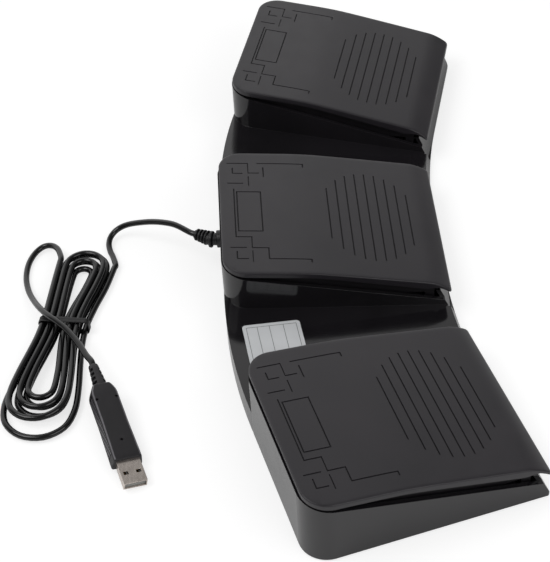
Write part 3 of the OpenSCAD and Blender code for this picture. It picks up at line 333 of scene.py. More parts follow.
# What each turn adds to them, and what the outermost turn adds again where it spreads
TOP_GROWS = 3.9
BOTTOM_GROWS = 4.0
UP_GROWS = 6.0
DOWN_GROWS = 6.4
SPREADS_FROM = 2.0
BOTTOM_SPREADS = 3.0
DOWN_SPREADS = 13.0
TOP_LEAN = 2.2


def clamp(x):
    return max(0.0, min(1.0, x))


def ease(x):
    return x * x * (3.0 - 2.0 * x)


def hank_point(turns):
    """A point of the hank's middle line: two runs and two folds to a turn, in two layers."""
    upper = 0.0 if turns < LAYER_TURNS + CLIMB else turns - LAYER_TURNS - CLIMB
    q = LAYER_TURNS - turns if turns < LAYER_TURNS else upper
    f = turns - math.floor(turns)
    spread = max(0.0, q - SPREADS_FROM)
    top = TOP_FOLD + TOP_GROWS * q
    bottom = BOTTOM_FOLD + BOTTOM_GROWS * q + BOTTOM_SPREADS * spread
    waist = WAIST + TURN_GAP * q
    up = UP_REACH + UP_GROWS * q - top
    down = DOWN_REACH + DOWN_GROWS * q + DOWN_SPREADS * spread - bottom

    def half_at(u):
        if u > 0:
            return waist + (top - waist) * ease(u / up)
        return waist + (bottom - waist) * ease(-u / down)

    if f < RUN_OUT:
        u = up - (up + down) * f / RUN_OUT
        v = -half_at(u)
    elif f < FOLD_IN:
        a = math.pi * (f - RUN_OUT) / (FOLD_IN - RUN_OUT)
        u = -down - bottom * math.sin(a)
        v = -bottom * math.cos(a)
    elif f < RUN_BACK:
        u = -down + (up + down) * (f - FOLD_IN) / (RUN_BACK - FOLD_IN)
        v = half_at(u)
    else:
        a = math.pi * (f - RUN_BACK) / (1 - RUN_BACK)
        u = up + top * math.sin(a)
        v = top * math.cos(a)
    v -= TOP_LEAN * ease(clamp(u / UP_REACH))
    c, s = math.cos(HANK_TURN), math.sin(HANK_TURN)
    return Vector((HANK_AT[0] + c * u - s * v, HANK_AT[1] + s * u + c * v,
                   LAYER_LOW + LAYER_RISE * clamp((turns - LAYER_TURNS) / CLIMB)))


COUNT = round(LOOPS * RINGS)
hank = [hank_point(LOOPS * n / COUNT) for n in range(COUNT + 1)]
before = hank[0] - CORD_D * (hank_point(1.0 / RINGS) - hank[0]).normalized()
after = hank[-1] + CORD_D * (hank[-1] - hank_point(LOOPS - 1.0 / RINGS)).normalized()


def behind(points):
    """Points given from the back of the middle housing."""
    return [Vector((x, REAR_Y + y, z)) for x, y, z in points]


LEAD_WAY = (
    (14.7, 25.3, 22), (19.7, 32, 20.2), (24.9, 40, 17), (29.4, 48, 13), (32.4, 54.2, 9.6),
    (33.2, 58.9, 7), (31.8, 62.7, 5), (28.4, 65.2, 3.5), (23.8, 65.9, 2.5), (18.6, 65, 2),
    (13.6, 63.3, 2.1),
)
TAIL_WAY = (
    (14.4, 93.1, 6.3), (20.3, 95.1, 5.5), (24.4, 98.6, 4.5), (25.6, 103, 3.4), (23.3, 107, 2.5),
    (18.1, 110.2, 1.95), (10.7, 112.1, 1.75), (0.7, 112.3, 1.8), (-10.2, 110.1, 2.7),
    (-21.6, 105.9, 5.6), (-33.1, 100.6, 10), (-41, 95.4, 12.2), (-46.6, 90.4, 12.75),
    (-52, 85.8, 12.8), (-58.4, 81.5, 12.8), (-65.5, 77.5, 12.8), (-72.8, 74, 12.85),
)
PLUG_AT = Vector((-81.06, REAR_Y + 70.03, 12.87))
PLUG_TURN = math.radians(197.0)
PLUG_NOD = math.radians(6.8)
PLUG_ROLL = math.radians(-10.0)
PLUG_M = (Matrix.Translation(PLUG_AT) @ turned(PLUG_TURN, "Z") @ turned(PLUG_NOD, "Y")
          @ turned(PLUG_ROLL, "X"))
PLUG_WAY = PLUG_M.to_3x3() @ Vector((1, 0, 0))
lead = [GLAND_TIP, GLAND_TIP + CORD_D * GLAND_WAY] + behind(LEAD_WAY) + [before]
tail = [after] + behind(TAIL_WAY) + [PLUG_AT - CORD_D * PLUG_WAY, PLUG_AT]


def smooth_path(points, cuts):
    """A smooth line through every point, with the same number of steps between each two."""
    out = []
    last = len(points) - 1
    for i in range(last):
        p0, p1, p2, p3 = (points[max(0, min(last, i + k))] for k in (-1, 0, 1, 2))
        for k in range(cuts):
            t = k / cuts
            bend = (2 * p0 - 5 * p1 + 4 * p2 - p3) * t * t + (3 * p1 - p0 - 3 * p2 + p3) * t ** 3
            out.append((2 * p1 + (p2 - p0) * t + bend) / 2)
    out.append(points[-1])
    return out


def make_cord():
    path = smooth_path(lead + hank + tail, CORD_CUTS)
    data = bpy.data.curves.new("usb_cord", "CURVE")
    data.dimensions = "3D"
    data.bevel_depth = CORD_D / 2 * MM
    data.bevel_resolution = CORD_ROUND
    data.use_fill_caps = True
    spline = data.splines.new("POLY")
    spline.points.add(len(path) - 1)
    for point, at in zip(spline.points, path):
        point.co = (*(at * MM), 1.0)
    spline.use_smooth = True
    obj = bpy.data.objects.new("usb_cord", data)
    bpy.context.scene.collection.objects.link(obj)
    data.materials.append(M["cord"])
    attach(obj, "base")
    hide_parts("usb_cord_lead", "usb_cord_hank", "usb_cord_tail")
    return obj


cord = make_cord()


# Work at the bench: each piece is shaped at one unit to a millimetre and then put in its place
def flat_sheet(width, length, centre):
    """A flat rectangle, left in edit mode with all of it selected."""
    bpy.ops.object.select_all(action="DESELECT")
    bpy.ops.mesh.primitive_plane_add(size=1)
    sheet = bpy.context.object
    sheet.scale = (width, length, 1)
    sheet.location = centre
    bpy.ops.object.transform_apply(location=True, rotation=False, scale=True)
    bpy.ops.object.mode_set(mode="EDIT")
    bpy.ops.mesh.select_all(action="SELECT")
    return sheet


def choose(kind, wanted):
    """Select the corners, edges or faces whose middle passes the test."""
    bpy.ops.mesh.select_mode(type=kind)
    bpy.ops.mesh.select_all(action="DESELECT")
    mesh = bmesh.from_edit_mesh(bpy.context.object.data)
    if kind == "VERT":
        chosen = [v for v in mesh.verts if wanted(v.co)]
    elif kind == "EDGE":
        chosen = [e for e in mesh.edges if wanted((e.verts[0].co + e.verts[1].co) / 2)]
    else:
        chosen = [f for f in mesh.faces if wanted(f.calc_center_median())]
    for part in chosen:
        part.select_set(True)
    mesh.select_flush_mode()
    bmesh.update_edit_mesh(bpy.context.object.data)


def cut_across(places, axis):
    """Bisect the whole piece at each place along one axis."""
    normal = [0.0, 0.0, 0.0]
    normal[axis] = 1.0
    for place in places:
        point = [0.0, 0.0, 0.0]
        point[axis] = place
        bpy.ops.mesh.select_all(action="SELECT")
        bpy.ops.mesh.bisect(plane_co=point, plane_no=normal, threshold=SAME_PLACE)


def draw_out(stations, sides):
    """A round piece: a disc extruded along z and resized from station to station."""
    height, radius = stations[0]
    bpy.ops.object.select_all(action="DESELECT")
    bpy.ops.mesh.primitive_circle_add(vertices=sides, radius=radius, fill_type="NGON")
    disc = bpy.context.object
    disc.location = (0, 0, height)
    bpy.ops.object.transform_apply(location=True, rotation=False, scale=False)
    bpy.ops.object.mode_set(mode="EDIT")
    bpy.ops.mesh.select_all(action="SELECT")
    for next_height, next_radius in stations[1:]:
        rise, grow = next_height - height, next_radius / radius
        bpy.ops.mesh.extrude_region_move(TRANSFORM_OT_translate={"value": (0, 0, rise)})
        bpy.ops.transform.resize(value=(grow, grow, 1), center_override=(0, 0, next_height))
        height, radius = next_height, next_radius
    return disc


def take_off_bench(matrix):
    """Turn the faces outwards, leave edit mode and put the mesh in its place, in metres."""
    bpy.ops.mesh.select_all(action="SELECT")
    bpy.ops.mesh.normals_make_consistent(inside=False)
    bpy.ops.object.mode_set(mode="OBJECT")
    bpy.context.object.data.transform(TO_METRES @ matrix)


def hand_over(obj, name, body, sharp):
    """Name and shade a piece that has its place, and tell the frame what it rides on."""
    bpy.ops.object.select_all(action="DESELECT")
    obj.select_set(True)
    bpy.context.view_layer.objects.active = obj
    bpy.ops.object.shade_smooth_by_angle(angle=math.radians(sharp))
    obj.name = name
    obj.data.name = name
    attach(obj, body)
    return obj


# Pedal plates
PLATE_H = 41.3
SLOPE = math.tan(math.radians(5.65))
BEND_AT = 30.0
BEND_SOFT = 9.3
BEND_STEEP = 0.0565
HALF_W = 50.4
T_REAR = 17.65
T_FRONT = -103.55
R_REAR = 13.15
R_FRONT = 1.65
LIP_AT = -90.4
LIP_LONG = 13.0
LIP_DROP = 3.8
LIP_FADE = 7.15
EDGE_DEEP = 3.0
EDGE_MORE = 1.6
EDGE_LESS = 3.0
EDGE_FROM = -30.0
PROUD = 0.45
RIM_ROUND = 0.8
RIM_STEPS = 5
REAR_STEPS = 14
FRONT_STEPS = 8
GROOVE_D = 0.42
GROOVE_IN = 0.2
GROOVE_OUT = 0.36
GRIP_LINES = 9
GRIP_FIRST = -42.0
GRIP_STEP = 5.6
GRIP_REACH = 36.0
GRIP_SHAPE = 4.9
CUT_WIDE = 4.0
CUT_LONG = 2.0
CUT_LEAST = 0.05
CUT_DIGITS = 3
PLATE_SHARP = 28.0
CUT_SIDE = 48.0
CUT_FRONT = -102.0
CUT_REAR = 16.0
# Straight lines of a traditional fret over the rear of the plate, as s0, t0, s1, t1
FRET = (
    (40.9, -4.2, 40.9, -30), (38.4, -30, 40.9, -30), (40.9, 1.1, 40.9, 12.8),
    (32.4, 1.1, 40.9, 1.1), (32.4, -4.6, 32.4, 1.1), (29.4, -7.4, 37.2, -7.4),
    (32, 9.9, 36.5, 9.9), (32, 4.6, 32, 9.9), (21.5, 1.2, 29, 1.2), (23.3, 4.4, 23.3, 12.8),
    (-20.8, 9.7, 18, 9.7), (-21.5, 1.2, -21.5, 9.7), (-30.2, 1.3, -21.5, 1.3),
    (-30.2, -7.4, -30.2, 1.3), (-38.8, -7.4, -30.2, -7.4), (-38.8, -29.8, -38.8, -7.4),
    (-41, -29.8, -38.8, -29.8), (-30, 4.6, -30, 12.7), (-38.5, 9.5, -33.3, 9.5),
    (-38.8, 3.8, -38.8, 9.5), (-41.1, 1.2, -32.7, 1.2),
    (15.9, -5, 15.9, 8.1), (-16.8, -5, -16.8, 8.1), (-16.8, 8.1, 15.9, 8.1),
    (-16.8, -5, 15.9, -5),
)


def plate_top(t):
    """Height of the plate's face: a slope that eases steeper at the bend and rolls over a lip."""
    bend = BEND_STEEP * (math.hypot(BEND_AT + t, BEND_SOFT) - BEND_AT - t)
    lip = LIP_DROP * ((LIP_AT - t) / LIP_LONG) ** 2 if t < LIP_AT else 0.0
    return PLATE_H + t * SLOPE - bend - lip


def edge_depth(t):
    """How far the plate's edge comes down, deepest towards the front and thin under the lip."""
    deeper = EDGE_MORE * clamp((EDGE_FROM - t) / (EDGE_FROM - LIP_AT))
    return EDGE_DEEP + deeper - EDGE_LESS * clamp((LIP_AT - t) / LIP_FADE)


def engraved_lines():
    """The fret and an oval of grip lines, each with its lower ends first."""
    lines = list(FRET)
    for n in range(GRIP_LINES):
        t = GRIP_FIRST - GRIP_STEP * n
        x = (n - (GRIP_LINES - 1) / 2) / GRIP_SHAPE
        reach = GRIP_REACH * math.sqrt(max(0.0, 1 - x * x))
        lines.append((-reach, t, reach, t))
    return [(min(s0, s1), min(t0, t1), max(s0, s1), max(t0, t1)) for s0, t0, s1, t1 in lines]


LINES = engraved_lines()


def cut_places(low, high, start, stop, step):
    """Where the plate is cut: at both sides of every line's floor and wall, and in even steps."""
    places = {round(start + step * n, CUT_DIGITS) for n in range(int((stop - start) / step) + 1)}
    for line in LINES:
        for away in (GROOVE_IN, GROOVE_OUT):
            for end in (line[low], line[high]):
                places.update((round(end - away, CUT_DIGITS), round(end + away, CUT_DIGITS)))
    kept = []
    for place in sorted(places):
        if not kept or place - kept[-1] >= CUT_LEAST:
            kept.append(place)
    return kept


def on_floor(middle):
    """Whether a face lies on the floor of a line."""
    inside = any(
        s0 - GROOVE_IN < middle.x < s1 + GROOVE_IN and t0 - GROOVE_IN < middle.y < t1 + GROOVE_IN
        for s0, t0, s1, t1 in LINES)
    return inside and middle.z > -SAME_PLACE


def make_plate():
    """One plate's skin in its own frame, flat until its slope and lip are given at the end."""
    plate = flat_sheet(2 * HALF_W, T_REAR - T_FRONT, (0, (T_REAR + T_FRONT) / 2, 0))
    for rear, radius, steps in ((True, R_REAR, REAR_STEPS), (False, R_FRONT, FRONT_STEPS)):
        choose("VERT", lambda at: abs(at.y - (T_REAR if rear else T_FRONT)) < SAME_PLACE)
        bpy.ops.mesh.bevel(offset=radius, segments=steps, affect="VERTICES", clamp_overlap=False)
    bpy.ops.mesh.select_mode(type="FACE")
    bpy.ops.mesh.select_all(action="SELECT")
    bpy.ops.mesh.extrude_region_move(TRANSFORM_OT_translate={"value": (0, 0, -EDGE_DEEP)})
    bpy.ops.mesh.delete(type="ONLY_FACE")
    choose("EDGE", lambda at: at.z > -SAME_PLACE)
    bpy.ops.mesh.bevel(offset=RIM_ROUND, segments=RIM_STEPS, affect="EDGES", clamp_overlap=False)
    cut_across(cut_places(0, 2, -CUT_SIDE, CUT_SIDE, CUT_WIDE), 0)
    cut_across(cut_places(1, 3, CUT_FRONT, CUT_REAR, CUT_LONG), 1)
    plate.data.materials.append(M["plate"])
    plate.data.materials.append(M["groove"])
    # The floors of the lines are sunk and take the darker finish, which is painted shade.
    choose("FACE", on_floor)
    plate.active_material_index = 1
    bpy.ops.object.material_slot_assign()
    bpy.ops.transform.translate(value=(0, 0, -GROOVE_D))
    bpy.ops.mesh.select_all(action="SELECT")
    bpy.ops.mesh.normals_make_consistent(inside=False)
    bpy.ops.object.mode_set(mode="OBJECT")
    for corner in plate.data.vertices:
        t = corner.co.y
        if corner.co.z < SAME_PLACE - EDGE_DEEP:
            corner.co.z = -edge_depth(t)
        corner.co.z += plate_top(t) + PROUD
    return plate


pattern = make_plate()
for side, x, y, turn in PEDALS:
    skin = bpy.data.objects.new("plate", pattern.data.copy())
    bpy.context.scene.collection.objects.link(skin)
    stand = Matrix.Translation(Vector((x, y, 0))) @ turned(math.radians(turn), "Z")
    skin.data.transform(TO_METRES @ stand)
    hand_over(skin, "plate_skin_" + side, side + "_pedal", PLATE_SHARP)
bpy.data.objects.remove(pattern)


# Strain relief: a collar, a knuckle and a ribbed tip, each turned further towards the cord
SLEEVE_SIDES = 32
SLEEVE_SHARP = 50.0
COLLAR = ((0.0, 3.6), (0.0, 4.9), (2.1, 4.9), (2.5, 4.7), (2.7, 3.8), (2.9, 3.5), (5.2, 3.4))
KNUCKLE = ((-0.9, 3.2), (-0.7, 3.5), (-0.4, 4.5), (0.0, 4.7), (1.0, 4.65), (1.3, 4.4), (1.4, 3.4),
           (3.2, 3.3))
TIP_FROM = 2.6
TIP_TO = 10.9
TIP_WIDE = 4.3
TIP_SLIM = 3.3
TIP_RIBS = 4
TIP_GAP = 1.0
RIB_SHARE = 0.6
RIB_SOFT = 0.25
RIB_SOFT_FOOT = 0.05
RIB_BROW = 0.12
RIB_FOOT = 0.48
TIP_START = ((0.4, 3.3),)
TIP_END = ((10.95, 2.4), (11.0, 1.75))
TO_REAR = turned(-math.pi / 2, "X")


def ribs():
    """Stations of rounded ribs on a tapering core."""
    out = []
    step = (TIP_TO - TIP_FROM) / TIP_RIBS
    wide = step * RIB_SHARE
    for n in range(TIP_RIBS):
        start = TIP_FROM + n * step
        radius = TIP_WIDE + (TIP_SLIM - TIP_WIDE) * (2 * n + 1) / (2 * TIP_RIBS)
        core = radius - TIP_GAP
        brow, foot = radius - RIB_BROW, radius - RIB_FOOT
        for along, r in ((0, core), (RIB_SOFT_FOOT, foot), (RIB_SOFT / 2, brow), (RIB_SOFT, radius),
                         (wide - RIB_SOFT, radius), (wide - RIB_SOFT / 2, brow),
                         (wide - RIB_SOFT_FOOT, foot), (wide, core)):
            out.append((start + along, r))
    return out


def relief_sleeve():
    elbow = Matrix.Translation(Vector((0, REAR_Y + GLAND_ELBOW, GLAND_Z)))
    wall = Matrix.Translation(Vector((0, REAR_Y, GLAND_Z)))
    made = []
    for frame_at, turn, stations in (
            (wall, 0.0, COLLAR), (elbow, GLAND_TURN / 2, KNUCKLE),
            (elbow, GLAND_TURN, (*TIP_START, *ribs(), *TIP_END))):
        part = draw_out(stations, SLEEVE_SIDES)
        take_off_bench(frame_at @ turned(-turn, "Z") @ TO_REAR)
        part.data.materials.append(M["relief"])
        made.append(part)
    for part in made:
        part.select_set(True)
    bpy.context.view_layer.objects.active = made[0]
    bpy.ops.object.join()
    sleeve = hand_over(made[0], "relief_sleeve", "base", SLEEVE_SHARP)
    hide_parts("strain_relief")
    return sleeve


relief_sleeve()

# Plug grip: a tapered block with toothed sides and three round pits
GRIP_X0 = 14.5
GRIP_X1 = 63.5
GRIP_HALF_W = 8.15
GRIP_HALF_H = 4.0
GRIP_EDGE = 1.3
GRIP_END = 0.9
GRIP_WIDTHS = ((14.5, 5.1), (15.5, 5.72), (17.0, 6.58), (19.0, 7.4), (21.0, 7.7), (40.0, 7.7),
               (60.0, 8.15))
GRIP_TOP = 0.87
# Heights of the band along the upper edge that takes the painted highlight, and where it ends along the
# grip
PAINTED_HIGHLIGHT_LOW = 3.5
PAINTED_HIGHLIGHT_HIGH = 3.85
PAINTED_HIGHLIGHT_ENDS = 62.5
TEETH = 25
TOOTH_FROM = 21.5
TOOTH_STEP = 1.5
TOOTH_WIDE = 0.75
TOOTH_HALF_H = 2.4
TOOTH_DEEP = 0.75
TOOTH_WALL = 0.08
ROUND_STEPS = 5
PITS = ((24.7, -5.2), (24.7, 5.2), (51.7, 0.0))
PIT_R = 0.8
PIT_DEEP = 1.1
PIT_SIDES = 24
BLOCK_SHARP = 45.0


def in_tooth_gap(at):
    along = at.x - TOOTH_FROM
    inside = 0 < along < TEETH * TOOTH_STEP and along % TOOTH_STEP < TOOTH_WIDE
    return inside and abs(at.z) < TOOTH_HALF_H


# Faces that take the painted highlight: the crests between the teeth and a band along the upper edge.
def on_painted_highlight(at):
    crest = 0 < at.x - TOOTH_FROM < (TEETH - 1) * TOOTH_STEP and abs(at.z) < TOOTH_HALF_H
    edge = PAINTED_HIGHLIGHT_LOW < at.z < PAINTED_HIGHLIGHT_HIGH and at.x < PAINTED_HIGHLIGHT_ENDS
    return edge or crest and not in_tooth_gap(at)


def plug_grip():
    bpy.ops.object.select_all(action="DESELECT")
    bpy.ops.mesh.primitive_cube_add(size=1)
    grip = bpy.context.object
    grip.scale = (GRIP_X1 - GRIP_X0, 2 * GRIP_HALF_W, 2 * GRIP_HALF_H)
    grip.location = ((GRIP_X0 + GRIP_X1) / 2, 0, 0)
    bpy.ops.object.transform_apply(location=True, rotation=False, scale=True)
    bpy.ops.object.mode_set(mode="EDIT")
    cut_across([x for x, wide in GRIP_WIDTHS[1:]], 0)
    for x, wide in GRIP_WIDTHS:
        choose("VERT", lambda at: abs(at.x - x) < SAME_PLACE)
        bpy.ops.transform.resize(value=(1, wide / GRIP_HALF_W, 1), center_override=(x, 0, 0))
    choose("VERT", lambda at: at.z > 0)
    bpy.ops.transform.resize(value=(1, GRIP_TOP, 1), center_override=(0, 0, GRIP_HALF_H))
    choose("EDGE", lambda at: abs(at.z) > GRIP_HALF_H - SAME_PLACE and abs(at.y) > SAME_PLACE)
    bpy.ops.mesh.bevel(offset=GRIP_EDGE, segments=ROUND_STEPS, affect="EDGES", clamp_overlap=False)
    choose("EDGE", lambda at: at.x < GRIP_X0 + SAME_PLACE or at.x > GRIP_X1 - SAME_PLACE)
    bpy.ops.mesh.bevel(offset=GRIP_END, segments=ROUND_STEPS, affect="EDGES", clamp_overlap=False)
    edges = [TOOTH_FROM + TOOTH_STEP * n + wide for n in range(TEETH) for wide in (0, TOOTH_WIDE)]
    cut_across(edges, 0)
    cut_across((-TOOTH_HALF_H, TOOTH_HALF_H), 2)
    grip.data.materials.append(M["plug"])
    grip.data.materials.append(M["recess"])
    grip.data.materials.append(M["painted_highlight"])
    # The crests of the teeth and a band along the upper edge take the lighter grey finish, a painted
    # highlight.
    choose("FACE", on_painted_highlight)
    grip.active_material_index = 2
    bpy.ops.object.material_slot_assign()
    # The gaps between the teeth are sunk and take the near-black recess finish, which is painted shade.
    choose("FACE", in_tooth_gap)
    bpy.ops.mesh.inset(thickness=TOOTH_WALL, depth=-TOOTH_DEEP, use_individual=False)
    grip.active_material_index = 1
    bpy.ops.object.material_slot_assign()
    bpy.ops.object.mode_set(mode="OBJECT")
    for x, y in PITS:
        bpy.ops.object.select_all(action="DESELECT")
        bpy.ops.mesh.primitive_cylinder_add(vertices=PIT_SIDES, radius=PIT_R, depth=2 * PIT_DEEP,
                                            location=(x, y, GRIP_HALF_H))
        drill = bpy.context.object
        pit = grip.modifiers.new("pit", "BOOLEAN")
        pit.operation = "DIFFERENCE"
        pit.object = drill
        bpy.context.view_layer.objects.active = grip
        bpy.ops.object.modifier_apply(modifier=pit.name)
        bpy.data.objects.remove(drill)
    bpy.ops.object.mode_set(mode="EDIT")
    take_off_bench(PLUG_M)
    hand_over(grip, "plug_grip", "base", BLOCK_SHARP)
    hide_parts("plug_body")
    return grip


# Bend guard: a tapering round guard with four windows at each side
GUARD_SLIM = 2.55
GUARD_GROWS = 1.25
GUARD_END = 15.1
GUARD_SIDES = 40
GUARD_LIP = ((0.0, 2.05), (0.1, 2.35), (0.2, 2.45))
GUARD_LIP_ENDS = 0.5
WINDOWS = 4
WINDOW_FROM = 2.0
WINDOW_STEP = 3.0
WINDOW_OPENS = 0.9
WINDOW_SHUTS = 2.76
WINDOW_DEEP = 0.85
WINDOW_WALL = 0.12
SPINE_HALF = 0.4
GUARD_SHARP = 50.0
TO_PLUG = turned(math.pi / 2, "Y")


def guard_radius(x):
    return GUARD_SLIM + GUARD_GROWS * clamp(x / (WINDOW_FROM + WINDOWS * WINDOW_STEP))


def in_window(at):
    along = at.z - WINDOW_FROM
    inside = 0 < along < WINDOWS * WINDOW_STEP and WINDOW_OPENS < along % WINDOW_STEP < WINDOW_SHUTS
    return inside and abs(at.y) > SPINE_HALF * math.hypot(at.x, at.y)


def bend_guard():
    stations = [*GUARD_LIP, (GUARD_LIP_ENDS, guard_radius(GUARD_LIP_ENDS))]
    for n in range(WINDOWS):
        for edge in (WINDOW_OPENS, WINDOW_SHUTS):
            x = WINDOW_FROM + n * WINDOW_STEP + edge
            stations.append((x, guard_radius(x)))
    stations.append((GUARD_END, guard_radius(GUARD_END)))
    guard = draw_out(stations, GUARD_SIDES)
    guard.data.materials.append(M["plug"])
    guard.data.materials.append(M["recess"])
    # The windows are sunk and take the near-black recess finish, which is painted shade.
    choose("FACE", in_window)
    bpy.ops.mesh.inset(thickness=WINDOW_WALL, depth=-WINDOW_DEEP, use_individual=False)
    guard.active_material_index = 1
    bpy.ops.object.material_slot_assign()
    take_off_bench(PLUG_M @ TO_PLUG)
    hand_over(guard, "plug_bend_guard", "base", GUARD_SHARP)
    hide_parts("plug_boot")
    return guard


grip = plug_grip()
guard = bend_guard()

# Tie: two flat bands round the waist of the hank, each with its start, width, growth and lean
TIE_LEFT = 12.815
TIE_RIGHT = -14.765
TIE_LOW = 0.4
TIE_HIGH = 9.0
TIE_CORNER = 2.35
TIE_THICK = 0.52
TIE_EDGE = 0.2
TIE_EDGE_STEPS = 3
TIE_STEPS = 8
TIE_SHARP = 60.0
TIE_BANDS = (("tie_wrap_1", -1.92, 1.93, 0.0, 0.6), ("tie_wrap_2", 0.08, 1.84, -0.02, -0.5))
UPRIGHT = Matrix(((0, 0, 1), (1, 0, 0), (0, 1, 0))).to_4x4()


def tie_band(name, start, width, grow, lean):
    """A ring cut from a rounded sheet, given its width, its thickness and soft edges."""
    centre = ((TIE_LEFT + TIE_RIGHT) / 2, (TIE_LOW + TIE_HIGH) / 2, start)
    band = flat_sheet(TIE_LEFT - TIE_RIGHT + grow, TIE_HIGH - TIE_LOW + grow, centre)
    choose("VERT", lambda at: True)
    bpy.ops.mesh.bevel(offset=TIE_CORNER, segments=TIE_STEPS, affect="VERTICES", clamp_overlap=False)
    bpy.ops.mesh.select_all(action="SELECT")
    bpy.ops.mesh.delete(type="ONLY_FACE")
    bpy.ops.mesh.select_mode(type="EDGE")
    bpy.ops.mesh.select_all(action="SELECT")
    bpy.ops.mesh.extrude_region_move(TRANSFORM_OT_translate={"value": (0, 0, width)})
    bpy.ops.mesh.select_all(action="SELECT")
    bpy.ops.mesh.normals_make_consistent(inside=False)
    bpy.ops.object.mode_set(mode="OBJECT")
    wall = band.modifiers.new("wall", "SOLIDIFY")
    wall.thickness = TIE_THICK
    wall.offset = 0.0
    bpy.ops.object.modifier_apply(modifier=wall.name)
    soft = band.modifiers.new("soft", "BEVEL")
    soft.width = TIE_EDGE
    soft.segments = TIE_EDGE_STEPS
    bpy.ops.object.modifier_apply(modifier=soft.name)
    bpy.ops.object.mode_set(mode="EDIT")
    hank_at = Matrix.Translation(Vector((*HANK_AT, 0)))
    take_off_bench(hank_at @ turned(HANK_TURN + math.radians(lean), "Z") @ UPRIGHT)
    band.data.materials.append(M["tie"])
    return hand_over(band, name, "base", TIE_SHARP)


wraps = [tie_band(*band) for band in TIE_BANDS]
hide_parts("cord_tie")

# Ruling of the label: a frame and three lines
RULE_W = 0.22
RULE_THICK = 0.03
RULE_HALF_W = 15.0
RULE_HALF_H = 13.5
RULES = (-6.5, 1.0, 7.5)
LABEL_TURN = math.radians(7.0)
LABEL_SLOPE = math.atan(0.07)
LABEL_AT = Vector((-77.8, MID_Y - 7.5, 14.9471))


def on_rule(at):
    framed = abs(at.x) > RULE_HALF_W - RULE_W or abs(at.y) > RULE_HALF_H - RULE_W
    return framed or any(rule < at.y < rule + RULE_W for rule in RULES)


def label_ruling():
    rules = flat_sheet(2 * RULE_HALF_W, 2 * RULE_HALF_H, (0, 0, 0))
    cut_across((RULE_W - RULE_HALF_W, RULE_HALF_W - RULE_W), 0)
    rows = [RULE_W - RULE_HALF_H, RULE_HALF_H - RULE_W]
    rows += [rule + wide for rule in RULES for wide in (0, RULE_W)]
    cut_across(rows, 1)
    choose("FACE", lambda at: not on_rule(at))
    bpy.ops.mesh.delete(type="FACE")
    bpy.ops.mesh.select_all(action="SELECT")
    bpy.ops.mesh.extrude_region_move(TRANSFORM_OT_translate={"value": (0, 0, RULE_THICK)})
    lie = Matrix.Translation(LABEL_AT) @ turned(LABEL_SLOPE, "X") @ turned(LABEL_TURN, "Z")
    take_off_bench(lie)
    rules.data.materials.append(M["ink"])
    return hand_over(rules, "label_ruling", "base", BLOCK_SHARP)


label_ruling()

# Floor and light
FLOOR_SIZE = 8.0
FLOOR_UNDER = -0.0001
PAPER = (0.92, 0.92, 0.92, 1)
PAPER_SEEN = (0.42, 0.42, 0.42, 1)
PAPER_GLOW = 0.69
ROOM = 0.5
WHITE = (1, 1, 1, 1)
SWEEP_WAY = (0.927, 0.36, 0.103)
SWEEP_FROM = 0.5
SWEEP_TO = 0.76
SWEEP_DARK = 0.22
SWEEP_BRIGHT = 1.1
LAMPS = (("key_softbox", (-0.3, 0.9, 1.5), (1.0, 0.8), 9.0),
         ("fill_softbox", (-0.9, -0.8, 1.0), (1.0, 0.8), 4.5))


def lay_floor():
    """Matt white paper: the camera sees it glow to white, and it keeps the object's shadow."""
    bpy.ops.object.select_all(action="DESELECT")
    bpy.ops.mesh.primitive_plane_add(size=FLOOR_SIZE, location=(0, 0, FLOOR_UNDER))
    floor = bpy.context.object
    floor.name = "floor"
    paper = bpy.data.materials.new("matt_paper")
    paper.use_nodes = True
    tree = paper.node_tree
    tree.nodes.clear()
    path = add(tree, "ShaderNodeLightPath")
    lit = add(tree, "ShaderNodeBsdfDiffuse", {"Color": PAPER})
    seen = add(tree, "ShaderNodeBsdfDiffuse", {"Color": PAPER_SEEN})
    glow = add(tree, "ShaderNodeEmission", {"Strength": PAPER_GLOW})
    white = add(tree, "ShaderNodeAddShader", links={0: seen.outputs[0], 1: glow.outputs[0]})
    both = add(tree, "ShaderNodeMixShader",
               links={0: path.outputs["Is Camera Ray"], 1: lit.outputs[0], 2: white.outputs[0]})
    add(tree, "ShaderNodeOutputMaterial", links={"Surface": both.outputs[0]})
    floor.data.materials.append(paper)


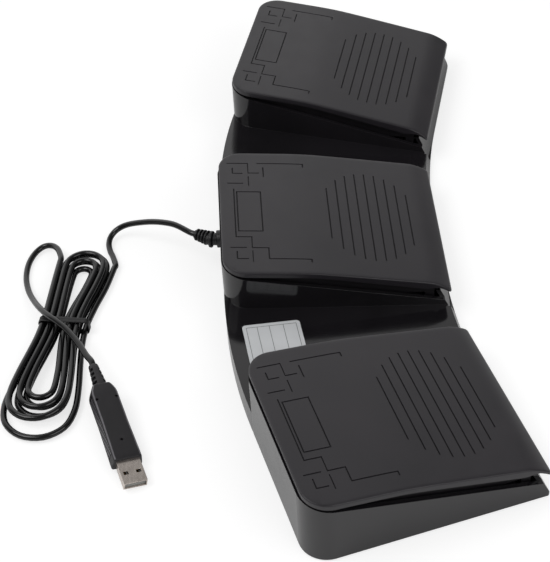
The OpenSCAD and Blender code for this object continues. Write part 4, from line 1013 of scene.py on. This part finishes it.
def light_room():
    """A soft room, and white paper that curves up behind: gloss sees it darken to the front."""
    world = bpy.data.worlds.new("studio")
    bpy.context.scene.world = world
    world.use_nodes = True
    tree = world.node_tree
    tree.nodes.clear()
    path = add(tree, "ShaderNodeLightPath")
    sharp = add(tree, "ShaderNodeMath", {"operation": "MAXIMUM"},
                {0: path.outputs["Is Camera Ray"], 1: path.outputs["Is Glossy Ray"]})
    clear = add(tree, "ShaderNodeMath", {"operation": "MAXIMUM"},
                {0: sharp.outputs[0], 1: path.outputs["Is Transmission Ray"]})
    place = add(tree, "ShaderNodeTexCoord")
    facing = add(tree, "ShaderNodeVectorMath", {"operation": "DOT_PRODUCT", 1: SWEEP_WAY},
                 {0: place.outputs["Generated"]})
    sweep = add(tree, "ShaderNodeMapRange",
                {"From Min": SWEEP_FROM, "From Max": SWEEP_TO, "To Min": SWEEP_DARK,
                 "To Max": SWEEP_BRIGHT}, {"Value": facing.outputs["Value"]})
    bright = add(tree, "ShaderNodeMath", {"operation": "MAXIMUM"},
                 {0: sweep.outputs["Result"], 1: path.outputs["Is Camera Ray"]})
    room = add(tree, "ShaderNodeBackground", {"Color": WHITE, "Strength": ROOM})
    paper = add(tree, "ShaderNodeBackground", {"Color": WHITE}, {"Strength": bright.outputs[0]})
    both = add(tree, "ShaderNodeMixShader",
               links={0: clear.outputs[0], 1: room.outputs[0], 2: paper.outputs[0]})
    add(tree, "ShaderNodeOutputWorld", links={"Surface": both.outputs[0]})


def hang_lamp(name, at, size, power):
    """A rectangular soft lamp that looks at the middle of the base."""
    bpy.ops.object.select_all(action="DESELECT")
    bpy.ops.object.light_add(type="AREA", location=at)
    softbox = bpy.context.object
    softbox.name = name
    softbox.data.shape = "RECTANGLE"
    softbox.data.size = size[0]
    softbox.data.size_y = size[1]
    softbox.data.energy = power
    softbox.rotation_euler = (-Vector(at)).to_track_quat("-Z", "Y").to_euler()


lay_floor()
light_room()
for lamp in LAMPS:
    hang_lamp(*lamp)
bpy.context.scene.view_settings.view_transform = "Standard"
